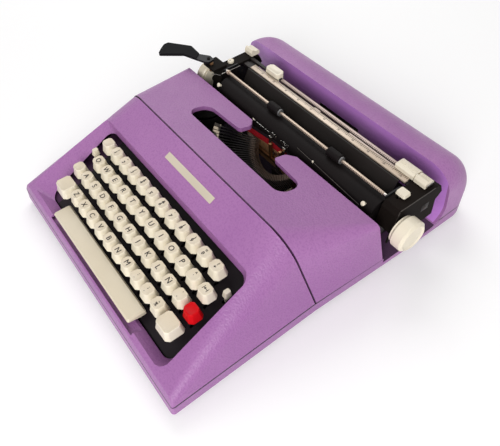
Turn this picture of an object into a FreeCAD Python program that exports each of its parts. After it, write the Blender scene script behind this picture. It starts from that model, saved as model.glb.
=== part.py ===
import FreeCAD, Part
import math
import os
import Sketcher

V = FreeCAD.Vector

# Driving dimensions, in millimetres and degrees.
# Distances called "back" run from the front edge of the body to the rear.
SIZES = {
    # Casing
    "body_width": 332.0, "body_depth": 385.0, "foot_height": 6.0, "base_seam": 20.0,
    "shell": 2.4, "front_round": 3.5, "base_edge": 1.2, "seam_gap": 0.8, "foot_front": 32.0,
    "foot_rear": 337.0,
    "front_lean": 1.5, "rim_back": 4.6, "rim_height": 29.0, "rim_shoulder": 8.0,
    "rim_edge": 2.5,
    "seam_back": 148.8, "seam_height": 103.5, "seam_foot": 164.0, "seam_inset": 22.5,
    "seam_waist": 3.0, "shoulder": 34.0, "cover_back": 237.3, "cover_height": 81.5,
    "cover_foot": 250.0, "cover_inset": 3.0, "cover_round": 5.0, "cover_lift": 0.3,
    "side_cut_front": 252.5, "side_cut_fall": 320.0, "side_cut_height": 12.0,
    "ledge_in": 139.0, "ledge_top": 14.5, "ledge_sweep": 21.0,
    "rear_front": 331.0, "rear_front_foot": 341.0, "rear_height": 86.5, "rear_top_r": 50.0,
    "rear_end_r": 27.0,
    "rear_slot_left": 25.0, "rear_slot_right": 34.0, "rear_slot_low": 59.0,
    "rear_slot_high": 9.0,
    # Key well
    "well_left": 152.0, "well_right": 136.0, "well_front": 9.5, "well_back": 112.0,
    "well_round": 11.0, "well_flare_left": 22.0, "well_flare_right": 5.0,
    "well_flare_front": 11.0, "well_drop": 13.0, "well_skin": 2.2, "lip_left": 94.0,
    "lip_right": 88.0, "lip_front": 6.5, "lip_back": 17.8, "lip_drop": 3.0,
    # Mechanism line and window in the ribbon cover
    "mech_x": 7.0, "window_left": 84.0, "window_right": 78.0, "window_front": 183.5,
    "window_back": 211.0, "neck_left": 29.0, "neck_right": 30.0, "neck_flare": 11.0,
    "window_round": 12.0, "lip_deep": 3.0, "lip_wide": 1.5,
    # Keys
    "key_pitch": 19.05, "row_pitch": 19.1, "row_rise": 7.8, "first_row_back": 39.8,
    "first_row_height": 54.5, "first_key_x": -82.5, "key_gap": 1.85, "row_gap": 3.3,
    "cap_draw": 2.0, "cap_height": 11.5, "cap_corner": 3.4, "dish_depth": 0.8,
    "shift_wide": 24.0, "shift_deep": 21.0, "stem_deep": 6.0, "lever_thick": 1.4, "lever_deep": 4.5,
    "lever_low": 21.5, "lever_rear_low": 17.0, "lever_drop_front": 200.0,
    "fulcrum_back": 230.0, "fulcrum_height": 19.0, "fulcrum_r": 2.0, "running_fit": 0.05,
    "mask_drop": 25.0, "mask_thick": 1.2, "mask_front": 22.0, "mask_back": 122.0,
    "comb_back": 150.0, "comb_low": 8.4, "comb_high": 30.0, "comb_thick": 1.6,
    "space_left": 91.0, "space_right": 78.0, "space_front": 10.0, "space_back": 30.0,
    "space_top": 37.5, "space_deep": 6.0, "space_edge": 3.2, "space_stem": 26.0,
    # Type basket
    "type_back": 243.0, "type_height": 74.5, "ring_tilt": 40.0, "ring_drop": 13.0,
    "pivot_r": 42.0, "ring_in": 36.0, "ring_out": 49.0, "ring_top": 3.0, "ring_under": 5.0,
    "slot_wide": 1.1, "slot_floor": 2.5, "typebar_count": 44.0, "typebar_step": 3.1,
    "typebar_rest": 50.0, "typebar_thick": 0.9, "typebar_deep": 4.0, "typebar_tail": 1.0,
    "slug_wide": 3.0, "slug_tall": 8.0, "slug_deep": 3.2,
    "post_r": 3.0, "post_x": 56.0, "post_back": 238.0, "post_top": 56.0,
    "lug_drop": 32.0, "lug_high": 5.5,
    # Ribbon
    "cup_aside": 1.0, "cup_behind": 3.0, "spool_r": 20.5, "spool_hub": 5.0,
    "spool_low": 54.5, "spool_high": 15.9, "flange": 1.0, "wound_r": 15.0, "cup_gap": 2.3,
    "cup_skin": 1.2, "cup_low": 51.0, "cup_high": 18.0, "ribbon_low": 56.1,
    "ribbon_wide": 12.7, "ribbon_back": 243.5, "ribbon_thick": 0.3, "ribbon_span": 14.0,
    # Carriage
    "carriage_x": 16.5, "carriage_half": 150.0, "cover_right_wide": 20.0,
    "cover_left_wide": 15.0, "print_gap": 1.0, "platen_height": 67.0, "platen_r": 16.0,
    "platen_half": 127.5, "shaft_r": 4.0, "knob_r": 17.0, "knob_wide": 14.0, "knob_gap": 5.5,
    "end_thick": 2.5, "rail_back": 38.0, "rail_deep": 6.0, "rail_low": 34.0,
    "rail_high": 6.0, "ride_gap": 0.3, "slide_high": 5.7, "feed_r": 4.5, "feed_angle": 65.0,
    "bail_behind": 3.5, "bail_above": 5.0, "bail_reach": 10.0,
    "bail_drop": 10.0, "bail_wire": 1.3, "bail_roller_x": 48.5,
    "bail_roller_half": 9.0, "bail_middle": 8.0,
    "table_behind": 11.0, "scale_behind": 2.5, "scale_deep": 7.5, "scale_high": 3.5,
    "stop_rail_behind": 11.0, "stop_rail_deep": 4.0, "stop_rail_high": 3.0,
    "lever_pivot_x": -140.0, "lever_forward": 5.5, "lever_above": 6.0, "lever_reach": 62.0,
    "lever_sheet": 3.5,
    # Frame and power
    "frame_x": 136.0, "frame_thick": 2.0, "power_behind": 20.0, "drum_x": -70.0,
    "drum_r": 16.0, "drum_low": 10.0, "drum_high": 15.0, "wheel_x": 25.0,
    "wheel_r": 14.0, "wheel_teeth": 24.0, "wheel_low": 28.5,
    "wheel_thick": 2.5,
}

# Dimensions that follow from the driving ones.
FOLLOWING = {
    "middle_x": "=(lever_reach - lever_pivot_x - carriage_x - carriage_half - knob_gap"
                " - knob_wide) / 2",
    "front_y": "=-body_depth / 2",
    "cap_wide": "=key_pitch - key_gap", "cap_deep": "=row_pitch - row_gap",
    "cup_r": "=spool_r + cup_gap + cup_skin",
    "spool_x": "=frame_x - mech_x - spool_r - cup_gap - cup_skin - cup_aside",
    "spool_back": "=type_back + print_gap - spool_r - cup_gap - cup_skin - cup_behind",
    "platen_back": "=type_back + platen_r + print_gap",
    "end_top": "=platen_height + platen_r + bail_above",
    "bail_back": "=type_back + platen_r + print_gap + bail_behind",
    "bail_height": "=platen_height + platen_r + bail_above",
    "bail_pivot_back": "=type_back + 2 * platen_r + print_gap + bail_reach",
    "bail_pivot_height": "=platen_height + platen_r + bail_above - bail_drop",
    "table_back": "=type_back + 2 * platen_r + print_gap + table_behind",
    "scale_back": "=type_back + 2 * platen_r + print_gap + table_behind + scale_behind",
    "stop_rail_back": "=type_back + 2 * platen_r + print_gap + table_behind + scale_behind"
                      " + stop_rail_behind",
    "stop_rail_low": "=platen_height + platen_r + bail_above - stop_rail_high",
    "lever_pivot_back": "=type_back + platen_r + print_gap - lever_forward",
    "lever_height": "=platen_height + platen_r + bail_above + lever_above",
    "drum_back": "=type_back + platen_r + print_gap + rail_back + power_behind",
    "wheel_back": "=type_back + platen_r + print_gap + rail_back + power_behind",
}

doc = FreeCAD.newDocument("typewriter")
sheet = doc.addObject("Spreadsheet::Sheet", "dims")
for row, (alias, content) in enumerate({**SIZES, **FOLLOWING}.items(), start=1):
    sheet.set("A%d" % row, alias)
    sheet.set("B%d" % row, str(content))
    sheet.setAlias("B%d" % row, alias)
doc.recompute()


class Dim:
    """A length that carries its sheet expression and its present value."""

    def __init__(self, text, value):
        self.text = text
        self.value = value

    def join(self, other, sign):
        other = dim(other)
        text = "(%s %s %s)" % (self.text, sign, other.text)
        if sign == "+":
            return Dim(text, self.value + other.value)
        if sign == "-":
            return Dim(text, self.value - other.value)
        if sign == "*":
            return Dim(text, self.value * other.value)
        return Dim(text, self.value / other.value)

    def __add__(self, other):
        return self.join(other, "+")

    def __radd__(self, other):
        return dim(other).join(self, "+")

    def __sub__(self, other):
        return self.join(other, "-")

    def __rsub__(self, other):
        return dim(other).join(self, "-")

    def __mul__(self, other):
        return self.join(other, "*")

    def __rmul__(self, other):
        return dim(other).join(self, "*")

    def __truediv__(self, other):
        return self.join(other, "/")

    def __neg__(self):
        return dim(0.0) - self


def dim(number):
    """A Dim from a Dim or from a plain number."""
    if isinstance(number, Dim):
        return number
    return Dim("%.6f" % number, float(number))


class Sheet:
    """Reads the sheet's cells by name, as Dims."""

    def __getattr__(self, alias):
        return Dim("dims.%s" % alias, float(sheet.get(alias)))


class Numbers:
    """Reads the sheet's cells by name, as plain numbers."""

    def __getattr__(self, alias):
        return float(sheet.get(alias))


d = Sheet()
n = Numbers()


def X(across):
    """Row X of a distance to the right of the body's middle."""
    return d.middle_x + across


def Y(back):
    """Row Y of a distance behind the body's front edge."""
    return d.front_y + back


def xn(across):
    return n.middle_x + across


def yn(back):
    return n.front_y + back


# Document helpers
NODES = []


def node(obj, label):
    """Registers an object as a sub-part under its own label."""
    obj.Label = label
    NODES.append(obj)
    return obj


def bind(obj, prop, value):
    obj.setExpression(prop, dim(value).text)


def place(obj, corner):
    for axis, value in zip("xyz", corner):
        bind(obj, ".Placement.Base.%s" % axis, value)


def box(name, corner, lengths):
    """Part box with its low corner and its three lengths bound to the sheet."""
    made = doc.addObject("Part::Box", name)
    for prop, value in zip(("Length", "Width", "Height"), lengths):
        bind(made, prop, value)
    place(made, corner)
    return made


TURNS = {
    "x": FreeCAD.Rotation(V(0, 1, 0), 90),
    "y": FreeCAD.Rotation(V(1, 0, 0), -90),
    "z": FreeCAD.Rotation(V(0, 0, 1), 0),
}


def rod(name, start, radius, length, axis="x"):
    """Part cylinder that runs from start along an axis."""
    made = doc.addObject("Part::Cylinder", name)
    bind(made, "Radius", radius)
    bind(made, "Height", length)
    made.Placement.Rotation = TURNS[axis]
    place(made, start)
    return made


def fuse(name, *parts):
    made = doc.addObject("Part::MultiFuse", name)
    made.Shapes = list(parts)
    return made


def cut(name, base, *tools):
    made = doc.addObject("Part::Cut", name)
    made.Base = base
    made.Tool = tools[0] if len(tools) == 1 else fuse(name + "_tools", *tools)
    return made


def feature(name, shape):
    """A plain feature for a form made by the shape functions."""
    made = doc.addObject("Part::Feature", name)
    made.Shape = shape
    made.Placement = FreeCAD.Placement()
    return made


def body(name, corner=(0.0, 0.0, 0.0)):
    made = doc.addObject("PartDesign::Body", name)
    place(made, corner)
    return made


def sketch(owner, name, role, offset=0.0):
    """Sketch on one of the body's own origin planes."""
    made = owner.newObject("Sketcher::SketchObject", name)
    plane = [f for f in owner.Origin.OriginFeatures if f.Role == role][0]
    made.AttachmentSupport = (plane, [""])
    made.MapMode = "FlatFace"
    bind(made, ".AttachmentOffset.Base.z", offset)
    return made


def lock(made, kind, geo, pos, value):
    """Holds one coordinate of a sketch point, by the sheet or on an axis."""
    value = dim(value)
    if abs(value.value) < 1e-9:
        axis = -2 if kind == "DistanceX" else -1
        made.addConstraint(Sketcher.Constraint("PointOnObject", geo, pos, axis))
        return
    index = made.addConstraint(Sketcher.Constraint(kind, -1, 1, geo, pos, value.value))
    made.setExpression("Constraints[%d]" % index, value.text)


def polygon(made, corners):
    """Closed straight outline, each corner held by the sheet."""
    corners = [(dim(a), dim(b)) for a, b in corners]
    first = len(made.Geometry)
    count = len(corners)
    for k in range(count):
        start = corners[k]
        end = corners[(k + 1) % count]
        made.addGeometry(Part.LineSegment(V(start[0].value, start[1].value, 0),
                                          V(end[0].value, end[1].value, 0)), False)
    for k in range(count):
        after = first + (k + 1) % count
        made.addConstraint(Sketcher.Constraint("Coincident", first + k, 2, after, 1))
    for k, (a, b) in enumerate(corners):
        lock(made, "DistanceX", first + k, 1, a)
        lock(made, "DistanceY", first + k, 1, b)


def circle(made, centre, radius):
    centre = (dim(centre[0]), dim(centre[1]))
    radius = dim(radius)
    geo = made.addGeometry(Part.Circle(V(centre[0].value, centre[1].value, 0),
                                       V(0, 0, 1), radius.value), False)
    index = made.addConstraint(Sketcher.Constraint("Radius", geo, radius.value))
    made.setExpression("Constraints[%d]" % index, radius.text)
    lock(made, "DistanceX", geo, 3, centre[0])
    lock(made, "DistanceY", geo, 3, centre[1])


def pad(owner, name, profile, length):
    made = owner.newObject("PartDesign::Pad", name)
    made.Profile = profile
    bind(made, "Length", length)
    owner.Tip = made
    return made


def pocket(owner, name, profile, length, reverse=False):
    made = owner.newObject("PartDesign::Pocket", name)
    made.Profile = profile
    made.Reversed = reverse
    bind(made, "Length", length)
    owner.Tip = made
    return made


def revolve(owner, name, profile, axis="H_Axis"):
    made = owner.newObject("PartDesign::Revolution", name)
    made.Profile = profile
    made.ReferenceAxis = (profile, [axis])
    made.Angle = 360.0
    owner.Tip = made
    return made


def turned(name, corner, outline):
    """Body turned about a line along X through corner."""
    made = body(name, corner)
    profile = sketch(made, name + "_outline", "XZ_Plane")
    polygon(profile, outline)
    revolve(made, name + "_turned", profile)
    return made


def round_edges(owner, name, picked, radius):
    """Fillet on the edges of the body's tip that the test picks."""
    doc.recompute()
    tip = owner.Tip
    names = ["Edge%d" % (k + 1) for k, edge in enumerate(tip.Shape.Edges) if picked(edge)]
    made = owner.newObject("PartDesign::Fillet", name)
    made.Base = (tip, names)
    bind(made, "Radius", radius)
    owner.Tip = made
    return made


# Shape helpers
def rounded_outline(points, height):
    """Closed wire through corners with rounded vertices.

    points holds (x, y, radius); height gives the level of each vertex.
    """
    edges = []
    ends = []
    count = len(points)
    for k in range(count):
        before = V(points[k - 1][0], points[k - 1][1], 0)
        here = V(points[k][0], points[k][1], 0)
        after = V(points[(k + 1) % count][0], points[(k + 1) % count][1], 0)
        radius = points[k][2]
        to_before = (before - here).normalize()
        to_after = (after - here).normalize()
        half = to_before.getAngle(to_after) / 2
        run = radius / math.tan(half)
        bisector = (to_before + to_after).normalize()
        middle = here + bisector * (radius / math.sin(half) - radius)
        ends.append((here + to_before * run, middle, here + to_after * run))

    def lift(point):
        return V(point.x, point.y, height(point.x, point.y))

    for k in range(count):
        start, middle, end = ends[k]
        following = ends[(k + 1) % count][0]
        edges.append(Part.Arc(lift(start), lift(middle), lift(end)).toShape())
        edges.append(Part.LineSegment(lift(end), lift(following)).toShape())
    return Part.Wire(edges)


def level(value):
    return lambda x, y: value


def loft(*wires):
    return Part.makeLoft(list(wires), True, True)


class Section:
    """A cross-section of the casing in a plane that leans backwards.

    low and high are (back, height) of its foot and top lines.
    """

    def __init__(self, low, high, half_low, half_high, radius):
        self.low = low
        self.high = high
        self.half_low = half_low
        self.half_high = half_high
        self.radius = radius

    def between(self, other, share):
        def mix(a, b):
            return a + (b - a) * share
        return Section((mix(self.low[0], other.low[0]), mix(self.low[1], other.low[1])),
                       (mix(self.high[0], other.high[0]), mix(self.high[1], other.high[1])),
                       mix(self.half_low, other.half_low),
                       mix(self.half_high, other.half_high),
                       mix(self.radius, other.radius))

    def inner(self, skin, below):
        """The section inside a wall, carried on below the foot line."""
        span = self.high[1] - self.low[1]
        lean = (self.high[0] - self.low[0]) / span
        slope = (self.half_high - self.half_low) / span
        low = (self.low[0] - lean * below, self.low[1] - below)
        high = (self.high[0] - lean * skin, self.high[1] - skin)
        return Section(low, high, self.half_low - skin - slope * below,
                       self.half_high - skin - slope * skin, max(self.radius - skin, 0.8))

    def ring(self):
        """Points round the section: right foot, right shoulder, left shoulder, left foot."""
        foot = V(0, yn(self.low[0]), self.low[1])
        top = V(0, yn(self.high[0]), self.high[1])
        up = (top - foot).normalize()
        tall = (top - foot).Length

        def at(x, along):
            return V(xn(0) + x, foot.y + up.y * along, foot.z + up.z * along)

        side = V(self.half_low - self.half_high, -tall, 0).normalize()
        flat = V(-1, 0, 0)
        half = side.getAngle(flat) / 2
        run = self.radius / math.tan(half)
        bisector = (side + flat).normalize() * (self.radius / math.sin(half) - self.radius)
        corner = V(self.half_high, tall, 0)
        shoulder = (corner + side * run, corner + bisector, corner + flat * run)
        right = [at(p.x, p.y) for p in shoulder]
        left = [at(-p.x, p.y) for p in reversed(shoulder)]
        return [at(self.half_low, 0)] + right + left + [at(-self.half_low, 0)]

    def wire(self):
        points = self.ring()
        edges = []
        for k in (0, 3, 6):
            following = points[(k + 1) % len(points)] if k < 6 else points[7]
            edges.append(Part.LineSegment(points[k], following).toShape())
            if k < 6:
                edges.append(Part.Arc(*points[k + 1:k + 4]).toShape())
        edges.append(Part.LineSegment(points[7], points[0]).toShape())
        return Part.Wire(edges)


def faceted(rings):
    """Solid between matching rings of points, with a flat face at each end."""
    faces = [Part.Face(Part.makePolygon(ring + [ring[0]])) for ring in (rings[0], rings[-1])]
    for ring, after in zip(rings, rings[1:]):
        for k in range(len(ring)):
            a, b = ring[k - 1], ring[k]
            c, e = after[k], after[k - 1]
            flat = abs((b - a).cross(e - a).dot(c - a)) < 0.01
            for corners in ([[a, b, c, e]] if flat else [[a, b, c], [a, c, e]]):
                faces.append(Part.Face(Part.makePolygon(corners + [corners[0]])))
    solid = Part.Solid(Part.Shell(faces))
    if solid.Volume < 0:
        solid.reverse()
    return solid


class Plane:
    """A flat face of the casing, whose normal points outwards."""

    def __init__(self, a, b, c, inside):
        self.point = a
        self.normal = (b - a).cross(c - a).normalize()
        if (inside - a).dot(self.normal) > 0:
            self.normal = -self.normal

    def moved(self, outwards):
        """The same plane moved along its normal."""
        self.point = self.point + self.normal * outwards
        return self


def meet(first, second, third):
    """The point where three planes meet."""
    a, b, c = first.normal, second.normal, third.normal
    total = (b.cross(c) * first.point.dot(a) + c.cross(a) * second.point.dot(b)
             + a.cross(b) * third.point.dot(c))
    return total * (1 / a.dot(b.cross(c)))


def shoulder_waste(start, end, top, side, first, last):
    """What a cone that is tangent to two planes takes off their common edge.

    Its radius grows from first to last between the start and end of the edge.
    """
    along = (end - start).normalize()
    middle = (top.normal + side.normal).normalize()
    grow = (last - first) / (end - start).Length
    apex = start - along * (first / grow)
    reach = (end - apex).Length * 1.05
    radius = grow * reach
    corner = apex + along * reach
    centre = corner - middle * (radius / top.normal.dot(middle))
    axis = centre - apex
    slope = math.tan(math.asin(radius / axis.Length))
    tall = axis.Length * 1.4
    cone = Part.makeCone(0, tall * slope, tall, apex, axis)
    touching = [centre + top.normal * radius, centre + side.normal * radius]
    rings = ([apex, corner, touching[0]], [apex, corner, touching[1]],
             [apex, touching[0], touching[1]], [corner, touching[0], touching[1]])
    wedge = Part.Solid(Part.Shell([Part.Face(Part.makePolygon(r + [r[0]])) for r in rings]))
    if wedge.Volume < 0:
        wedge.reverse()
    return wedge.cut(cone)


def side_prism(left, wide, outline):
    """Prism along X of an outline of (back, height) points."""
    points = [V(xn(left), yn(back), height) for back, height in outline]
    wire = Part.makePolygon(points + [points[0]])
    return Part.Face(wire).extrude(V(wide, 0, 0))


def block(x0, x1, y0, y1, z0, z1):
    """Solid block between two corners in body distances."""
    return Part.makeBox(x1 - x0, y1 - y0, z1 - z0, V(xn(x0), yn(y0), z0))


# Numbers that several sub-parts share
SIDE_BOW = 150.0
WIDEST_BEHIND_COVER = 30.0
FOOT_LOW_R = 8.0
FOOT_HIGH_R = 10.0
FOOT_INSET = 34.0
OVERRUN = 5.0


def casing_sections():
    """Cross-sections of the ribbon cover at the seam and at its rear edge."""
    half = n.body_width / 2
    seam_half = half - n.seam_waist
    seam = Section((n.seam_foot, n.base_seam), (n.seam_back, n.seam_height), seam_half,
                   seam_half - n.seam_inset, n.shoulder)
    rear = Section((n.cover_foot, n.base_seam), (n.cover_back, n.cover_height), half,
                   half - n.cover_inset, n.cover_round)
    return seam, rear


def front_plane(back, above=0.0):
    """Height of the sloping front panel at a distance from the front edge."""
    slope = (n.seam_height - n.rim_height) / (n.seam_back - n.rim_back)
    return n.rim_height + slope * (back - n.rim_back) + above


def casing_outline(inset, height, front):
    """Plan outline of the casing, drawn in by inset, at one height."""
    half = n.body_width / 2 - inset
    waist = half - n.seam_waist
    widest = n.cover_foot + WIDEST_BEHIND_COVER
    rear = n.body_depth - inset
    points = [
        (-half, front, n.front_round), (half, front, n.front_round),
        (waist, n.seam_foot, SIDE_BOW), (half, widest, SIDE_BOW),
        (half, rear, n.rear_end_r - inset), (-half, rear, n.rear_end_r - inset),
        (-half, widest, SIDE_BOW), (-waist, n.seam_foot, SIDE_BOW),
    ]
    placed = [(xn(x), yn(y), radius) for x, y, radius in points]
    return rounded_outline(placed, level(height))


# Rows from the front, their stagger in key pitches, and the turn of a pressed key
KEY_PRESS = 3.3
LEVER_SHARE = 0.624672
KEY_ROWS = {"lower": 0, "home": 1, "upper": 2, "number": 3}
ROW_SHIFTS = {"lower": 0.0, "home": -0.5, "upper": -0.75, "number": -0.25}


def key_x(row, column):
    return n.first_key_x + n.key_pitch * (column + ROW_SHIFTS[row])


def between_levers(pitches):
    """Half a lever spacing beside a key lever of the front row."""
    return n.first_key_x + n.key_pitch * (pitches + LEVER_SHARE)


def key_back(row):
    return n.first_row_back + n.row_pitch * KEY_ROWS[row]


def key_height(row):
    return n.first_row_height + n.row_rise * KEY_ROWS[row]


def mask_top(back):
    slope = n.row_rise / n.row_pitch
    return n.first_row_height - n.mask_drop + slope * (back - n.first_row_back)


# The middle letter key, made as a train of its own, and the columns of each row
SINGLE_COLUMN = 4
ROW_COLUMNS = {
    "lower": range(0, 10),
    "home": [c for c in range(0, 11) if c != SINGLE_COLUMN],
    "upper": range(0, 12),
    "number": range(0, 11),
}
# Where the other levers stand; small keys are (name, back, top)
SPACE_LEVERS = (between_levers(0), between_levers(7))
SMALL_KEYS = (("release", 82.0, 69.0), ("selector", 93.0, 62.0))
SPECIAL_LEVERS = {
    "shift_left": key_x("lower", -1), "shift_right": key_x("lower", 10),
    "lock": key_x("home", -1), "tab": key_x("home", 11), "back": key_x("number", -1),
    "release": key_x("upper", -1), "selector": key_x("number", 11),
}


def all_stems():
    """(x, back) of every lever that passes through the mask."""
    stems = []
    for row, columns in ROW_COLUMNS.items():
        stems += [(key_x(row, c), key_back(row)) for c in columns]
    stems.append((key_x("home", SINGLE_COLUMN), key_back("home")))
    stems.append((SPECIAL_LEVERS["shift_left"], key_back("lower")))
    stems.append((SPECIAL_LEVERS["shift_right"], key_back("lower")))
    stems.append((SPECIAL_LEVERS["lock"], key_back("home")))
    stems.append((SPECIAL_LEVERS["tab"], key_back("home")))
    stems.append((SPECIAL_LEVERS["back"], key_back("number")))
    stems += [(SPECIAL_LEVERS[name], back) for name, back, top in SMALL_KEYS]
    return stems


# Casing
def side_cut_line(top):
    """Where the tray's side walls dip beside the carriage, closed at a height."""
    return [(n.side_cut_front, top), (n.side_cut_front, n.side_cut_height),
            (n.side_cut_fall, n.side_cut_height), (n.rear_front_foot, n.base_seam),
            (n.rear_front_foot, top)]


def base_tray():
    """Pressed tray under the whole machine, open at the sides for the carriage."""
    low = n.foot_height
    outer = loft(casing_outline(n.base_edge, low, n.base_edge),
                 casing_outline(0.0, low + n.base_edge, 0.0))
    upper = loft(casing_outline(0.0, low + n.base_edge, 0.0),
                 casing_outline(0.0, n.base_seam, n.front_lean))
    floor = low + n.shell
    inner = loft(casing_outline(n.shell + n.base_edge, floor, n.shell + n.base_edge),
                 casing_outline(n.shell, floor + n.base_edge, n.shell),
                 casing_outline(n.shell, n.base_seam + 1, n.shell + n.front_lean))
    half = n.body_width / 2
    notch = side_prism(-half - 1, 2 * half + 2, side_cut_line(n.base_seam + 2))
    tray = outer.fuse(upper).cut(inner).cut(notch)
    return node(feature("base_tray", tray.removeSplitter()), "base_tray")


def rubber_feet():
    """Four moulded feet, a little wider at the top."""
    feet = []
    for side in (-1, 1):
        for back in (d.foot_front, d.foot_rear):
            foot = doc.addObject("Part::Cone", "foot")
            bind(foot, "Radius1", FOOT_LOW_R)
            bind(foot, "Radius2", FOOT_HIGH_R)
            bind(foot, "Height", d.foot_height)
            place(foot, (X(side * (d.body_width / 2 - FOOT_INSET)), Y(back), 0.0))
            feet.append(foot)
    return node(fuse("rubber_feet", *feet), "rubber_feet")


def well_wire(grow, above):
    """Outline of the key well at a height above or below the front panel."""
    deep = max(above, -n.well_drop)
    left = n.well_left + n.well_flare_left * deep / n.well_drop + grow
    right = n.well_right + n.well_flare_right * deep / n.well_drop + grow
    front = n.well_front - n.well_flare_front * deep / n.well_drop - grow
    corners = [(-left, front), (right, front),
               (right, n.well_back + grow), (-left, n.well_back + grow)]
    placed = [(xn(x), yn(y), n.well_round) for x, y in corners]
    return rounded_outline(placed, lambda x, y: front_plane(y - n.front_y, above))


def front_block(skin):
    """Solid under the front panel and its shoulders, drawn in by skin."""
    half = n.body_width / 2
    inside = V(0, n.seam_back / 2, n.base_seam + 5)
    across = V(10, 0, 0)
    foot = V(half, n.front_lean, n.base_seam)
    rim = V(0, n.rim_back, n.rim_height)
    seam_foot = V(half - n.seam_waist, n.seam_foot, n.base_seam)
    crest = V(seam_foot.x - n.seam_inset, n.seam_back, n.seam_height)
    side = Plane(foot, seam_foot, crest, inside).moved(-skin)
    front = Plane(foot, foot - across, rim, inside).moved(-skin)
    top = Plane(rim, rim + across, crest, inside).moved(-skin)
    rear = Plane(crest, crest - across, seam_foot, inside)
    rear.moved(OVERRUN / 2 if skin else -n.seam_gap / 2)
    low = Plane(foot, foot - across, seam_foot, V(0, n.seam_back / 2, n.seam_height))
    low.moved(OVERRUN if skin else 0.0)
    right = [meet(side, front, low), meet(side, front, top), meet(side, rear, top),
             meet(side, rear, low)]
    left = [V(-point.x, point.y, point.z) for point in right]
    waste = shoulder_waste(right[1], right[2], top, side, n.rim_shoulder - skin,
                           n.shoulder - skin)
    solid = faceted([left, right]).cut([waste, waste.mirror(V(0, 0, 0), V(1, 0, 0))])
    solid.translate(V(n.middle_x, n.front_y, 0))
    return solid


def keyboard_housing():
    """Front shell with its sloping panel, growing shoulders and the flared key well."""
    outer = front_block(0.0)
    rim = [edge for edge in outer.Edges
           if edge.CenterOfMass.y < yn(n.rim_back) + 0.1
           and edge.CenterOfMass.z > n.base_seam + 0.1]
    outer = outer.makeFillet(n.rim_edge, rim)
    inner = front_block(n.shell)
    skirt = loft(well_wire(n.well_skin, -n.well_drop), well_wire(n.well_skin, 12))
    hole = loft(well_wire(0, -3 * n.well_drop), well_wire(0, -n.well_drop), well_wire(0, 12))
    low = n.rim_height - n.lip_drop
    skin = n.shell / 2
    ledge = block(-n.lip_left - skin, n.lip_right + skin, n.rim_back, n.lip_back, low - skin,
                  low)
    lip = block(-n.lip_left, n.lip_right, n.lip_front, n.lip_back, low, n.seam_height)
    shell = outer.cut(inner).fuse([skirt.common(outer), ledge]).cut([hole, lip])
    return node(feature("keyboard_housing", shell.removeSplitter()), "keyboard_housing")


def window_wire(height):
    """Plan outline of the opening over the type basket."""
    left = n.mech_x - n.window_left
    right = n.mech_x + n.window_right
    neck_left = n.mech_x - n.neck_left
    neck_right = n.mech_x + n.neck_right
    flare_start = n.cover_back - 8
    beyond = n.cover_back + 30
    corners = [
        (left, n.window_front, n.window_round), (right, n.window_front, n.window_round),
        (right, n.window_back, n.window_round), (neck_right, n.window_back + 3, 4.0),
        (neck_right, flare_start, 6.0), (neck_right + n.neck_flare, n.cover_back + 2, 1.0),
        (neck_right + n.neck_flare, beyond, 1.0), (neck_left - n.neck_flare, beyond, 1.0),
        (neck_left - n.neck_flare, n.cover_back + 2, 1.0), (neck_left, flare_start, 6.0),
        (neck_left, n.window_back + 3, 4.0), (left, n.window_back, n.window_round),
    ]
    placed = [(xn(x), yn(y), radius) for x, y, radius in corners]
    return rounded_outline(placed, level(height))


# Shares of the way back at which the inside of the ribbon cover is cut into rings
COVER_SHARES = (-0.04, 0.2, 0.45, 0.7, 1.04)


def ribbon_cover():
    """Lift-off shell over the type basket, with its window and rolled window edge."""
    seam, rear = casing_sections()
    run = n.cover_back - n.seam_back
    outer = loft(seam.between(rear, n.seam_gap / 2 / run).wire(), rear.wire())
    inner, deeper = (
        faceted([seam.between(rear, share).inner(skin, OVERRUN).ring()
                 for share in COVER_SHARES])
        for skin in (n.shell, n.shell + n.lip_deep))
    window = Part.Face(window_wire(0)).extrude(V(0, 0, 150))
    edge = Part.Face(window_wire(0)).makeOffset2D(n.lip_wide).extrude(V(0, 0, 150))
    lip = edge.common(inner).common(outer).cut(deeper)
    shell = outer.cut(inner).fuse(lip).cut(window)
    half = n.body_width / 2 + 5
    foot = block(-half, half, n.seam_back - 5, n.cover_foot + 20, n.base_seam - 8,
                 n.base_seam + n.cover_lift)
    return node(feature("ribbon_cover", shell.cut(foot).removeSplitter()), "ribbon_cover")


def rear_front_cut(shift, top):
    """Everything in front of the rear housing's leaning front wall."""
    lean = (n.rear_front_foot - n.rear_front) / (n.rear_height - n.base_seam)
    low = n.base_seam - 20
    half = n.body_width / 2 + 5
    return side_prism(-half, 2 * half, [
        (280, low), (n.rear_front_foot + lean * 20 + shift, low),
        (n.rear_front - lean * (top - n.rear_height) + shift, top), (280, top)])


def rear_block():
    """Loaf-shaped solid: a large rounding along the top and rounded ends."""
    half = n.body_width / 2
    loaf = block(-half, half, 300, n.body_depth, n.base_seam, n.rear_height)
    rear = yn(n.body_depth)
    back_top = [edge for edge in loaf.Edges
                if edge.CenterOfMass.y > rear - 0.1 and edge.CenterOfMass.z > n.rear_height - 0.1]
    loaf = loaf.makeFillet(n.rear_top_r, back_top)
    ends = [edge for edge in loaf.Edges
            if abs(edge.CenterOfMass.x - n.middle_x) > half - 0.1
            and edge.CenterOfMass.z > n.base_seam + 0.1 and edge.CenterOfMass.y > yn(301)]
    return loaf.makeFillet(n.rear_end_r, ends)


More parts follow.
